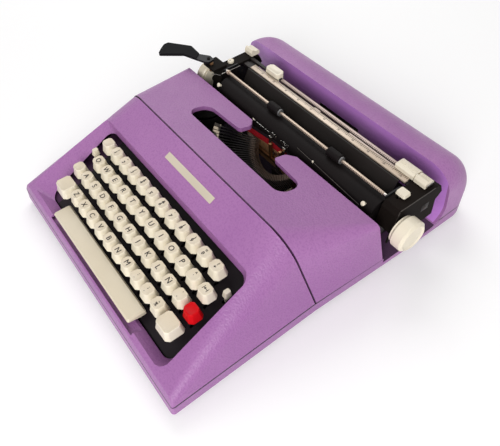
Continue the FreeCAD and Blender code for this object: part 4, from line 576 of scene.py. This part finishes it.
def pick_edges(piece, test):
    """Picks the open mesh's edges whose middle and run pass the test."""
    bpy.ops.mesh.select_mode(type="EDGE")
    bpy.ops.mesh.select_all(action="DESELECT")
    shape = bmesh.from_edit_mesh(piece.data)
    for edge in shape.edges:
        first, last = (corner.co for corner in edge.verts)
        if test((first + last) / 2, last - first):
            edge.select_set(True)
    bmesh.update_edit_mesh(piece.data)


def upright(middle, along):
    """True for an upright edge, when edges are picked."""
    return abs(along.z) > 0.9 * along.length


def upper(middle, normal):
    """True for an upper face, when faces are picked."""
    return normal.z > 0.9


def move_corners(piece, rule):
    """Moves each corner of the open mesh to where the rule puts it."""
    shape = bmesh.from_edit_mesh(piece.data)
    for corner in shape.verts:
        corner.co = rule(*corner.co)
    bmesh.update_edit_mesh(piece.data)


def soften(edge, steps=2, clamp=False):
    """Bevels the edges that are picked."""
    bpy.ops.mesh.bevel(offset=edge * MM, segments=steps, affect="EDGES", clamp_overlap=clamp)


def inset(margin, lift):
    """Insets the faces that are picked, and lifts or sinks them."""
    bpy.ops.mesh.inset(thickness=margin * MM, depth=lift * MM)


def pull(x, y, z):
    """Extrudes what is picked."""
    bpy.ops.mesh.extrude_region_move(
        TRANSFORM_OT_translate={"value": (x * MM, y * MM, z * MM)})


def resize(x, y, z, centre=(0, 0, 0)):
    """Widens or narrows what is picked, seen from a centre."""
    bpy.ops.transform.resize(value=(x, y, z), center_override=centre)


def cut_off(point, away):
    """Cuts off what lies beyond a plane, and closes the cut."""
    bpy.ops.mesh.bisect(plane_co=point, plane_no=away, use_fill=True, clear_outer=True)


def face_out():
    """Turns all faces of the open mesh outward."""
    pick_all()
    bpy.ops.mesh.normals_make_consistent(inside=False)


def work_in(piece, sort, **settings):
    """Puts a modifier on a piece and applies it."""
    pick(piece)
    step = piece.modifiers.new("step", sort)
    for name, value in settings.items():
        setattr(step, name, value)
    bpy.ops.object.modifier_apply(modifier="step")


def join(pieces):
    """Several pieces made one."""
    pick(*pieces)
    if len(pieces) > 1:
        bpy.ops.object.join()
    return bpy.context.object


def twin_of(piece):
    """A copy of a piece with a mesh of its own."""
    pick(piece)
    bpy.ops.object.duplicate()
    return bpy.context.object


def copy_to(piece, x, y, z):
    """A copy of a piece made at the origin, moved to its place on the machine."""
    twin = twin_of(piece)
    twin.location = at(x, y, z)
    return settle(twin)


def row_of(piece, shifts):
    """A piece and its copies, each so many millimetres to the right of it."""
    made = [piece]
    for along in shifts:
        twin = twin_of(piece)
        twin.location.x += along * MM
        made.append(settle(twin))
    return made


def steps_of(pitch, count):
    """Even shifts for a row, one for each copy."""
    return [pitch * step for step in range(1, count + 1)]


def discard(piece):
    """Takes a helper piece off the bench."""
    bpy.data.objects.remove(piece, do_unlink=True)


def add_object(name, data):
    """A mesh, a camera or a lamp, put in the scene."""
    made = bpy.data.objects.new(name, data)
    bpy.context.scene.collection.objects.link(made)
    return made


def copy_of_node(name):
    """A node's own shape as a new piece, its mesh open and its corners merged."""
    piece = add_object(name + "_copy", NODES[name].data.copy())
    pick(piece)
    open_mesh()
    pick_all()
    bpy.ops.mesh.remove_doubles(threshold=0.00001)
    pick_all()
    return piece


def fit(piece, name, covering, body, instead=(), smooth=35):
    """A finished piece gets its name, its finish and the body that carries it."""
    pick(piece)
    bpy.ops.object.shade_smooth_by_angle(angle=math.radians(smooth))
    piece.name = name
    piece.data.name = name
    piece.data.materials.clear()
    piece.data.materials.append(MATERIALS[covering])
    if instead:
        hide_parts(*instead)
    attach(piece, body)
    return piece


def blank(size, middle=(0, 0, 0), turn=(0, 0, 0)):
    """A plain block to be worked on. Its size and its middle are in metres."""
    let_go()
    bpy.ops.mesh.primitive_cube_add(size=1, location=middle)
    piece = bpy.context.object
    piece.rotation_euler = turn
    piece.scale = size
    return settle(piece)


def blank_between(low, high):
    """A plain block between two corners, to be worked on."""
    low, high = at(*low), at(*high)
    return blank(high - low, (low + high) / 2)


def block(low, high, edge=0.4, steps=2):
    """A block between two corners, with its edges broken."""
    piece = blank_between(low, high)
    open_mesh()
    pick_all()
    soften(edge, steps)
    close_mesh()
    return piece


def rod(start, end, radius, sides=16):
    """A round bar from one point to another, with its ends chamfered."""
    let_go()
    start, end = at(*start), at(*end)
    along = end - start
    bpy.ops.mesh.primitive_cylinder_add(
        vertices=sides, radius=radius * MM, depth=along.length, location=(start + end) / 2,
        rotation=along.to_track_quat("Z", "Y").to_euler())
    piece = settle(bpy.context.object)
    direction = along.normalized()
    open_mesh()
    pick_faces(piece, lambda middle, normal: abs(normal.dot(direction)) > 0.9)
    soften(0.2)
    close_mesh()
    return piece


def turned(start, direction, steps, sides=32):
    """A turned piece: rings of (distance along, radius) from a start point."""
    let_go()
    direction = Vector(direction).normalized()
    start = at(*start)
    first, radius = steps[0]
    bpy.ops.mesh.primitive_circle_add(
        vertices=sides, radius=radius * MM, fill_type="NGON",
        location=start + direction * first * MM,
        rotation=direction.to_track_quat("Z", "Y").to_euler())
    piece = settle(bpy.context.object)
    open_mesh()
    pick_all()
    for along, wider in steps[1:]:
        pull(*(direction * (along - first)))
        grow = wider / radius
        resize(grow, grow, grow, start + direction * along * MM)
        first, radius = along, wider
    face_out()
    close_mesh()
    return piece


def lettering(words, size, x, y, z, raised, lines=1.0):
    """Printed marks that read from the front of the machine."""
    let_go()
    bpy.ops.object.text_add(location=(0, 0, 0))
    text = bpy.context.object.data
    text.body = words
    text.size = size * MM
    text.align_x = "CENTER"
    text.align_y = "CENTER"
    text.space_line = lines
    text.resolution_u = 3
    text.extrude = raised * MM
    bpy.ops.object.convert(target="MESH")
    marks = bpy.context.object
    open_mesh()
    pick_all()
    bpy.ops.mesh.remove_doubles(threshold=0.000004)
    close_mesh()
    marks.location = at(x, y, z)
    return settle(marks)


# Keys
ROWS = ("lower", "home", "upper", "number")
ROW_SHIFT = {"lower": 0.0, "home": -0.5, "upper": -0.75, "number": -0.25}
LEGENDS = {
    "lower": ["Z", "X", "C", "V", "B", "N", "M", ":\n.", ";\n,", "-\n%"],
    "home": ["A", "S", "D", "F", "G", "H", "J", "K", "L", "Ñ", "'\n,"],
    "upper": ["Q", "W", "E", "R", "T", "Y", "U", "I", "O", "P", "^\n`", "margins"],
    "number": ["!\n1", "\"\n2", "/\n3", "$\n4", "_\n5", "&\n6", "'\n7", "(\n8", ")\n9", "=\n0",
               "?\n+"],
}


def key_place(row, column):
    """The middle of a key's top, in millimetres."""
    step = ROWS.index(row)
    x, y, z = FIRST_KEY
    return (x + KEY_PITCH * (column + ROW_SHIFT[row]), y + ROW_STEP * step, z + ROW_RISE * step)


def key_cap(wide, deep):
    """A cap with chamfered corners, flared sides and a dished top, its top at the bench."""
    waist, brim = 2.9, 4.0
    waist_high = 0.42 * CAP_HIGH
    cap = blank((wide * MM, deep * MM, CAP_HIGH * MM), (0, 0, -CAP_HIGH / 2 * MM))
    open_mesh()
    pick_edges(cap, upright)
    soften(3.4, 1)
    pick_faces(cap, upper)
    bpy.ops.transform.translate(value=(0, 0, -waist_high * MM))
    resize((wide - waist) / wide, (deep - waist) / deep, 1)
    pull(0, 0, waist_high)
    resize((wide - brim) / (wide - waist), (deep - brim) / (deep - waist), 1)
    pick_edges(cap, lambda middle, along: middle.z > (0.1 - CAP_HIGH) * MM)
    soften(0.85, 3, clamp=True)
    pick_faces(cap, lambda middle, normal: normal.z > 0.999 and middle.z > -0.05 * MM)
    for margin, drop in ((0.5, 0.08), (0.9, 0.22), (1.1, 0.20), (1.0, 0.10)):
        inset(margin, -drop)
    close_mesh()
    return cap


def lever_below(node, cap_low):
    """The steel lever of a key that stands alone, cut off under its cap."""
    lever = copy_of_node(node)
    cut_off((0, 0, cap_low * MM), (0, 0, 1))
    close_mesh()
    return lever


def margin_mark(x, y, z):
    """An arrow between two upright strokes, raised like the letters."""
    sunk, proud = z - 0.1, z + 0.12
    left = block((x - 3.0, y - 1.9, sunk), (x - 2.5, y + 2.1, proud), 0.03, 1)
    shaft = block((x - 0.9, y - 0.1, sunk), (x + 2.2, y + 0.4, proud), 0.03, 1)
    let_go()
    bpy.ops.mesh.primitive_circle_add(vertices=3, radius=1.3 * MM, fill_type="NGON",
                                      location=at(x - 1.0, y + 0.15, sunk),
                                      rotation=(0, 0, math.radians(90)))
    point = settle(bpy.context.object)
    open_mesh()
    pick_all()
    pull(0, 0, proud - sunk)
    face_out()
    close_mesh()
    return join(row_of(left, (5.5,)) + [shaft, point])


def make_letter_keys():
    """Four rows of caps with their printed signs; one letter has a lever train of its own."""
    pattern = key_cap(*SMALL_CAP)
    for row in ROWS:
        body = row + "_row"
        caps, marks = [], []
        for column, words in enumerate(LEGENDS[row]):
            x, y, z = key_place(row, column)
            cap = copy_to(pattern, x, y, z)
            if words == "margins":
                mark = margin_mark(x, y, z - 0.50)
            elif "\n" in words:
                mark = lettering(words, 5.2, x, y + 0.1, z - 0.42, raised=0.22, lines=0.80)
            else:
                mark = lettering(words, 8.0, x, y - 0.6, z - 0.50, raised=0.18)
            if words == "G":
                fit(cap, "cap_g", "key_ivory", "key_g", ["key_cap_g"])
                fit(mark, "letter_g", "legend_ink", "key_g")
            else:
                caps.append(cap)
                marks.append(mark)
        node = "number_keys" if row == "number" else row + "_letter_keys"
        fit(join(caps), row + "_row_caps", "key_ivory", body, [node])
        fit(join(marks), row + "_row_letters", "legend_ink", body)
    discard(pattern)


def make_lone_keys():
    """Shift, lock, backspace and the red tab key, each a cap on its own steel lever."""
    small = key_cap(*SMALL_CAP)
    large = key_cap(*LARGE_CAP)
    outward, forward = 3.4, -2.6
    lone = (("shift_key_left", "shift_left", large, "lower", -1, -outward, forward),
            ("shift_key_right", "shift_right", large, "lower", 10, outward, forward),
            ("shift_lock_key", "shift_lock", small, "home", -1, 0.0, 0.0),
            ("backspace_key", "backspace", small, "number", -1, 0.0, 0.0),
            ("tab_key", "tab", small, "home", 11, 0.0, 0.0))
    for node, body, pattern, row, column, across, back in lone:
        x, y, z = key_place(row, column)
        red = node == "tab_key"
        cap = copy_to(pattern, x + across, y + back, z)
        fit(cap, node + "_cap", "scarlet_plastic" if red else "key_ivory", body, [node])
        lever = lever_below(node, z - CAP_HIGH)
        fit(lever, node + "_lever", "dark_steel", body, [node])
    discard(small)
    discard(large)


def make_space_bar():
    """Long bar, thin along its front edge, with a sloped rim and a faint crown on top."""
    left, right, front, back = -91.0, 78.0, 10.0, 30.0
    shoulder, rim = 35.3, 2.0
    bar = blank_between((left, front, SPACE_BAR_LOW), (right, back, shoulder))
    open_mesh()
    pick_edges(bar, upright)
    soften(1.6, 3)
    pick_all()
    cut_off(at(0, 23.0, SPACE_BAR_LOW), (0, -0.2046, -0.9788))
    pick_faces(bar, upper)
    pull(0, 0, rim)
    resize(166.6 / (right - left), 17.4 / (back - front), 1,
           at((left + right) / 2, (front + back) / 2, shoulder + rim))
    inset(0.35, 0.28)
    inset(0.40, 0.08)
    close_mesh()
    fit(bar, "space_bar_top", "bar_ivory", "space", ["space_bar"], smooth=30)
    fit(lever_below("space_bar", SPACE_BAR_LOW), "space_bar_levers", "dark_steel", "space",
        ["space_bar"])


# Ribbon
def make_ribbon():
    """Two-coloured ribbon on edge, from spool to spool past the printing point."""
    low, high, thick = RIBBON_LOW, RIBBON_HIGH, 0.3
    route = [(-98.8, 232.35), (-7.0, 243.5), (21.0, 243.5), (112.8, 232.35)]
    start, end = (at(x, y, low) for x, y in route[:2])
    run = end - start
    middle = (start + end) / 2 + Vector((0, 0, (high - low) / 2 * MM))
    let_go()
    bpy.ops.mesh.primitive_plane_add(size=1, location=(0, 0, 0))
    strip = bpy.context.object
    strip.rotation_euler = (math.radians(90), 0, 0)
    settle(strip)
    open_mesh()
    pick_all()
    resize(run.x, 1, (high - low) * MM)
    bpy.ops.transform.translate(value=middle)
    for side in (-1, 1):
        pick_edges(strip, lambda place, along: side * (place.x - middle.x) > 0.4 * run.x)
        bpy.ops.transform.translate(value=(0, side * run.y / 2, 0))
    for (x, y), (next_x, next_y) in zip(route[1:], route[2:]):
        pull(next_x - x, next_y - y, 0)
    pick_all()
    bpy.ops.mesh.subdivide(number_cuts=5)
    face_out()
    close_mesh()
    work_in(strip, "SOLIDIFY", thickness=thick * MM, offset=0.0)
    strip.location.y = thick / 2 * MM
    settle(strip)
    fit(strip, "two_colour_ribbon", "ribbon_cloth", "root", ["ribbon"])


# Casing
def make_badge():
    """A bare plate on the front slope."""
    (foot, foot_high), (head, head_high) = SLOPE_FOOT, SLOPE_HEAD
    slope = math.atan((head_high - foot_high) / (head - foot))
    plate = blank((82.0 * MM, 7.4 * MM, 1.0 * MM))
    open_mesh()
    pick_edges(plate, upright)
    soften(0.5)
    pick_faces(plate, upper)
    inset(0.25, 0.12)
    inset(0.35, -0.06)
    close_mesh()
    back, sunk = 130.3, 0.1
    plate.rotation_euler = (slope, 0, 0)
    plate.location = at(10.0, back, foot_high + math.tan(slope) * (back - foot) - sunk)
    settle(plate)
    fit(plate, "badge_plate", "badge_metal", "root")


# Carriage
def make_bail():
    """Flat ticked bar over the bail wire, with a grey collar at the right of each roller."""
    bars = [block((left, 262.2, 86.7), (right, 264.8, 89.4), 0.5, 3)
            for left, right in ((-110.7, -33.4), (-14.8, 63.6), (82.6, 141.7))]
    fit(join(bars), "bail_bar", "bail_metal", "bail")
    collar = turned((-14.6, BAIL_BACK, BAIL_HEIGHT), (1, 0, 0),
                    [(0, 2.3), (0, 4.1), (1.0, 4.1), (1.4, 3.6), (1.4, 2.3)], 24)
    fit(join(row_of(collar, (97.4,))), "bail_collars", "collar_grey", "bail")
    tips = [rod((left, BAIL_BACK, BAIL_HEIGHT), (right, BAIL_BACK, BAIL_HEIGHT), 1.7, 20)
            for left, right in ((-118.0, -112.5), (141.5, 145.9))]
    fit(join(tips), "bail_tips", "bright_steel", "bail")
    eyelet = turned((-113.2, BAIL_BACK, BAIL_HEIGHT), (1, 0, 0),
                    [(0, 1.8), (0, 2.7), (2.0, 2.7), (2.6, 2.3), (2.6, 1.8)], 24)
    fit(eyelet, "bail_eyelet", "bail_metal", "bail")


def make_scale():
    """Ticked scale on a dark carrier, with small figures at each tenth mark."""
    strip = block((-103.4, 289.5, 85.8), (143.0, 297.0, 88.0), 0.35)
    fit(strip, "scale_plate", "scale_metal", "carriage", ["scale_strip"])
    carrier = [block((RAIL_LEFT, 289.9, 84.5), (RAIL_RIGHT, 296.6, 85.9), 0.2, 1),
               block((RAIL_LEFT, 297.0, 83.9), (RAIL_RIGHT, 300.4, 84.7), 0.2, 1)]
    fit(join(carrier), "scale_carrier", "black_paint", "carriage", ["scale_strip"])
    figures = [lettering(str(step * 10), 2.9, FIRST_TENTH + 10 * TICK * step, 292.4, 88.0,
                         raised=0.06) for step in range(1, 12)]
    fit(join(figures), "scale_figures", "legend_ink", "carriage")
    ledge = [block((58.0, 297.1, 86.9), (122.0, 298.7, 87.8), 0.2),
             block((3.0, 297.1, 86.7), (12.5, 298.7, 87.7), 0.2)]
    fit(join(ledge), "tabulator_ledge", "rack_metal", "carriage")


def make_margin_rail():
    """Margin rail with a row of teeth along its front edge, dark at its left end."""
    low = block((RAIL_LEFT, 300.5, 85.0), (RAIL_RIGHT, 304.5, 86.6), 0.15, 1)
    end = block((RAIL_LEFT, 300.6, 86.4), (-60.2, 304.4, 87.7), 0.2)
    rear = block((-60.0, 302.3, 86.4), (RAIL_RIGHT, 304.5, 88.0), 0.25)
    tooth = block((-59.6, 300.6, 86.3), (-58.3, 302.6, 87.9), 0.2, 1)
    work_in(tooth, "ARRAY", count=94, use_relative_offset=False, use_constant_offset=True,
            constant_offset_displace=(TICK * MM, 0, 0))
    fit(join([tooth, rear]), "margin_teeth", "rack_metal", "carriage", ["margin_rail"])
    fit(join([low, end]), "margin_bar", "black_paint", "carriage", ["margin_rail"])


def make_left_stop():
    """Left margin stop: a pad with cut corners over the rail."""
    left, right = -86.0, -62.0
    pad = blank_between((left, 297.6, 88.4), (right, 309.2, 93.8))
    open_mesh()
    pick_edges(pad, upright)
    soften(3.2, 1)
    pick_faces(pad, upper)
    soften(1.0, 3)
    pick_faces(pad, lambda middle, normal: normal.z > 0.999)
    inset(1.2, 0.0)
    inset(0.4, -0.25)
    close_mesh()
    legs = [block((left, 298.9, 85.0), (right, 300.2, 88.6), 0.2, 1),
            block((left, 304.8, 85.0), (right, 306.2, 88.6), 0.2, 1)]
    fit(join([pad] + legs), "left_stop_pad", "ivory_plastic", "stop_left",
        ["margin_stop_left"])


def make_grip_ribs():
    """Grip ribs on the right margin stop and on the right carriage release, and its tab."""
    for name, body, low, high, pitch, copies in (
            ("stop_right_ribs", "stop_right", (124.5, 299.8, 93.5), (125.3, 305.2, 94.1), 1.9, 10),
            ("release_ribs", "release_right", (149.6, 300.5, 93.5), (150.5, 306.0, 94.2), 1.7, 5)):
        ribs = row_of(block(low, high, 0.25), steps_of(pitch, copies))
        fit(join(ribs), name, "ivory_plastic", body)
    tab = block((161.3, 297.5, 88.6), (162.3, 306.5, 93.2), 0.3)
    fit(tab, "release_side_plate", "bright_steel", "release_right")


def screw(place, direction, radius):
    """A domed screw with a driver slot."""
    head = turned(place, direction,
                  [(-0.4, radius), (0.5, radius), (0.9, radius * 0.86), (1.1, radius * 0.6)], 20)
    away = Vector(direction).normalized()
    side = away.orthogonal().normalized()
    turn = Matrix((side, away.cross(side), away)).transposed().to_euler()
    groove = blank((radius * 2.4 * MM, radius * 0.34 * MM, 0.9 * MM),
                   at(*place) + away * 1.1 * MM, turn)
    work_in(head, "BOOLEAN", object=groove, solver="EXACT")
    discard(groove)
    return head


def make_end_details():
    """Edges, a plate with its screw, and two studs on the carriage's end covers."""
    edges = [rod((-117.0, 256.6, 86.2), (-116.2, 283.0, 86.2), 0.45, 10),
             rod((-132.2, 251.9, 80.6), (-118.8, 257.6, 82.8), 0.5, 10)]
    fit(join(edges), "left_bright_edges", "bright_steel", "carriage")
    rim = [rod((166.3, 252.2, 66.0), (166.3, 258.6, 87.4), 0.45, 10),
           rod((166.2, 259.2, 87.7), (166.2, 306.0, 87.7), 0.45, 10)]
    fit(join(rim), "right_bright_edges", "cover_edge", "carriage")
    plate = block((165.9, 291.0, 64.0), (166.9, 301.0, 73.0))
    fit(plate, "right_side_plate", "black_paint", "carriage")
    fit(screw((166.8, 295.3, 68.6), (1, 0, 0), 2.2), "side_plate_screw", "dark_steel",
        "carriage")
    for number, place in ((1, (-108.0, 245.9, 80.6)), (2, (133.3, 245.9, 80.0))):
        stud = turned(place, (0, -0.8, 0.6),
                      [(-3.0, 1.3), (0.2, 1.3), (0.2, 2.4), (1.2, 2.4), (1.7, 1.9), (1.9, 1.0)],
                      20)
        fit(stud, "card_stud_%d" % number, "ivory_plastic", "carriage")


def make_line_button():
    """Round selector on the left end cover, with its pointer line."""
    cap = turned((-128.0, 278.0, 86.4), (0, 0, 1),
                 [(0, 3.9), (3.4, 3.9), (3.9, 3.5), (4.0, 2.9), (3.7, 2.6), (3.7, 0.6)])
    fit(cap, "line_selector", "ivory_plastic", "line_button", ["line_space_button"])
    pointer = block((-128.35, 275.4, 89.9), (-127.65, 278.6, 90.25), 0.1, 1)
    fit(pointer, "selector_pointer", "legend_ink", "line_button")


def make_seam():
    """Dark joint line between the keyboard housing and the ribbon cover."""
    seam = copy_of_node("ribbon_cover")
    cut_off(at(0, 150.15, MACHINE_TOP), (0, 0.984, 0.179))
    pick_all()
    bpy.ops.transform.shrink_fatten(value=0.07 * MM)
    move_corners(seam, lambda x, y, z: (x, y, min(z, MACHINE_TOP * MM)))
    close_mesh()
    fit(seam, "cover_seam", "seam_shade", "cover")


def make_wall_recess():
    """Dark opening low in the leaning rear wall, and the smooth patch over it."""
    lean = math.tan(math.radians(REAR_WALL_LEAN))
    panels = ((-27.5, 36.0, 44.0, 57.4, 0.35, 1.0, "wall_opening", "black_paint"),
              (-25.1, 34.1, 58.9, 68.1, 0.02, 2.0, "wall_patch", "rear_paint"))
    for left, right, low, high, proud, deep, name, covering in panels:
        panel = block((left, REAR_WALL - proud, low), (right, REAR_WALL + deep, high), 0.12, 1)
        open_mesh()
        move_corners(panel, lambda x, y, z: (x, y - (z - REAR_WALL_LEVEL * MM) * lean, z))
        close_mesh()
        fit(panel, name, covering, "root")


def make_card_fingers():
    """Toothed guides each side of the printing point, with a twisted wire over them."""
    strap = block((-9.6, 243.6, 56.0), (-8.4, 243.95, 74.0), 0.1, 1)
    plates = [block((left, GUIDE_FRONT, 71.6), (right, GUIDE_BACK, 74.2), 0.15, 1)
              for left, right in ((-9.6, 3.0), (11.0, 22.7))]
    tooth = block((-8.5, GUIDE_FRONT, 73.6), (-6.3, GUIDE_BACK, 76.2), 0.2, 1)
    let_go()
    bpy.ops.mesh.primitive_torus_add(major_segments=14, minor_segments=8, major_radius=1.25 * MM,
                                     minor_radius=0.40 * MM, location=at(-7.4, GUIDE_BACK, 75.4),
                                     rotation=(math.radians(90), 0, math.radians(35)))
    ring = settle(bpy.context.object)
    teeth = row_of(tooth, (4.0, 8.0, 20.0, 24.0, 28.0))
    rings = row_of(ring, (3.1, 6.2, 9.3, 19.6, 22.7, 25.8, 28.9))
    fit(join(row_of(strap, (31.1,)) + plates + teeth), "card_fingers", "black_paint", "root")
    wire = rod((-8.0, 244.0, 74.4), (-36.5, 243.5, 75.0), 0.38, 8)
    fit(join(rings + [wire]), "card_loop", "wire_with_painted_glints", "root")
    tip = turned((-36.0, 243.5, 75.0), (-0.7, -0.3, 0.65),
                 [(-0.6, 0.5), (0, 0.9), (1.8, 0.9), (2.4, 0.5)], 12)
    fit(tip, "card_hook", "ivory_plastic", "root")


def make_front_wire():
    """Fine wire across the front of the platen, and a white pointer."""
    bend = (88.0, 244.6, 79.4)
    wire = [rod((34.0, 247.4, 80.0), bend, 0.4, 8), rod(bend, (131.0, 242.6, 78.4), 0.4, 8)]
    fit(join(wire), "card_wire", "dark_steel", "carriage")
    pointer = block((59.6, 245.3, 79.0), (61.4, 246.7, 81.4), 0.35)
    fit(pointer, "wire_pointer", "ivory_plastic", "carriage")


def make_basket_back():
    """Bronze plate behind the type segment, with a row of ribs."""
    plate = block((-52.0, 244.2, 27.0), (66.0, 245.0, 55.4), 0.2, 1)
    rib = block((-48.6, 244.0, 34.0), (-47.6, 244.5, 53.0), 0.15, 1)
    # Its copper colour is made brighter as painted light.
    fit(join([plate] + row_of(rib, steps_of(5.85, 19))), "segment_back", "copper_wall",
        "basket")


def make_lever_spring():
    """Spring wound round the pivot of the return lever."""
    pitch, wire, core = 2.0, 3.0, 2.2
    steps = [(0.0, 1.8)]
    for turn in range(6):
        low = pitch * turn
        steps += [(low + 0.5, wire), (low + 1.3, wire), (low + pitch, core)]
    fit(turned((-136.6, 255.0, 81.5), (0, 0, 1), steps, 20), "lever_spring", "bronze_steel",
        "carriage")


# Studio
def make_camera():
    """The camera, at the photographed angle."""
    data = bpy.data.cameras.new("camera")
    data.lens = 38.36
    data.sensor_width = 36.0
    data.shift_x = 0.0083
    data.shift_y = 0.0112
    camera = add_object("camera", data)
    right = Vector((0.5923, 0.8038, -0.0567))
    up = Vector((-0.6059, 0.4906, 0.6263))
    back = Vector((0.5312, -0.3365, 0.7775))
    turn = Matrix((right, up, back)).transposed()
    camera.matrix_world = Matrix.Translation(at(349.67, -24.83, 463.47)) @ turn.to_4x4()
    bpy.context.scene.camera = camera


def make_light(name, place, size, power):
    """A round soft lamp that shines on the machine."""
    data = bpy.data.lights.new(name, "AREA")
    data.shape = "DISK"
    data.size = size
    data.energy = power
    lamp = add_object(name, data)
    aim = Vector((0, 0, 0.05)) - Vector(place)
    lamp.location = place
    lamp.rotation_euler = aim.to_track_quat("-Z", "Y").to_euler()


def looked_at(tree):
    """One for rays that see the studio straight on, in a mirror or through glass."""
    seen = tree.nodes.new("ShaderNodeLightPath").outputs
    direct = either(tree, seen["Is Camera Ray"], seen["Is Glossy Ray"])
    return either(tree, direct, seen["Is Transmission Ray"])


def make_stage():
    """Pale floor. Where it is looked at it glows a little, and more so far away, to be white."""
    let_go()
    bpy.ops.mesh.primitive_plane_add(size=12.0, location=(0, 0, 0))
    floor = bpy.context.object
    floor.name = "floor"
    material, tree, shader = new_material("pale_floor", 0.1)
    shader.inputs["Base Color"].default_value = (*grey(0.88), 1)
    shader.inputs["Roughness"].default_value = 0.9
    far = tree.nodes.new("ShaderNodeMapRange")
    far.interpolation_type = "SMOOTHSTEP"
    for socket, value in (("From Min", 0.5), ("From Max", 2.6), ("To Min", 0.16),
                          ("To Max", 0.56)):
        far.inputs[socket].default_value = value
    tree.links.new(reckon_points(tree, "LENGTH", place_on(tree)), far.inputs["Value"])
    glow = tree.nodes.new("ShaderNodeEmission")
    tree.links.new(both(tree, looked_at(tree), far.outputs["Result"]), glow.inputs["Strength"])
    surface = tree.nodes.new("ShaderNodeAddShader")
    tree.links.new(shader.outputs["BSDF"], surface.inputs[0])
    tree.links.new(glow.outputs["Emission"], surface.inputs[1])
    output = next(step for step in tree.nodes if step.type == "OUTPUT_MATERIAL")
    tree.links.new(surface.outputs["Shader"], output.inputs["Surface"])
    floor.data.materials.append(material)


def make_world():
    """Soft light all round, and a white backdrop."""
    soft, white = 0.48, 0.54
    world = bpy.data.worlds.new("studio")
    world.use_nodes = True
    tree = world.node_tree
    sky = tree.nodes["Background"]
    sky.inputs["Color"].default_value = (0.98, 0.97, 0.97, 1)
    brighter = both(tree, looked_at(tree), white)
    tree.links.new(reckon(tree, "ADD", brighter, soft), sky.inputs["Strength"])
    bpy.context.scene.world = world
    bpy.context.scene.view_settings.view_transform = "Standard"


make_camera()
make_stage()
make_world()
make_light("window", (1.15, -1.15, 0.85), 1.1, 23.0)
make_light("skylight", (-0.95, 0.60, 1.35), 1.2, 10.0)

make_letter_keys()
make_lone_keys()
make_space_bar()
make_ribbon()
make_badge()
make_bail()
make_scale()
make_margin_rail()
make_left_stop()
make_grip_ribs()
make_end_details()
make_line_button()
make_seam()
make_wall_recess()
make_card_fingers()
make_front_wire()
make_basket_back()
make_lever_spring()
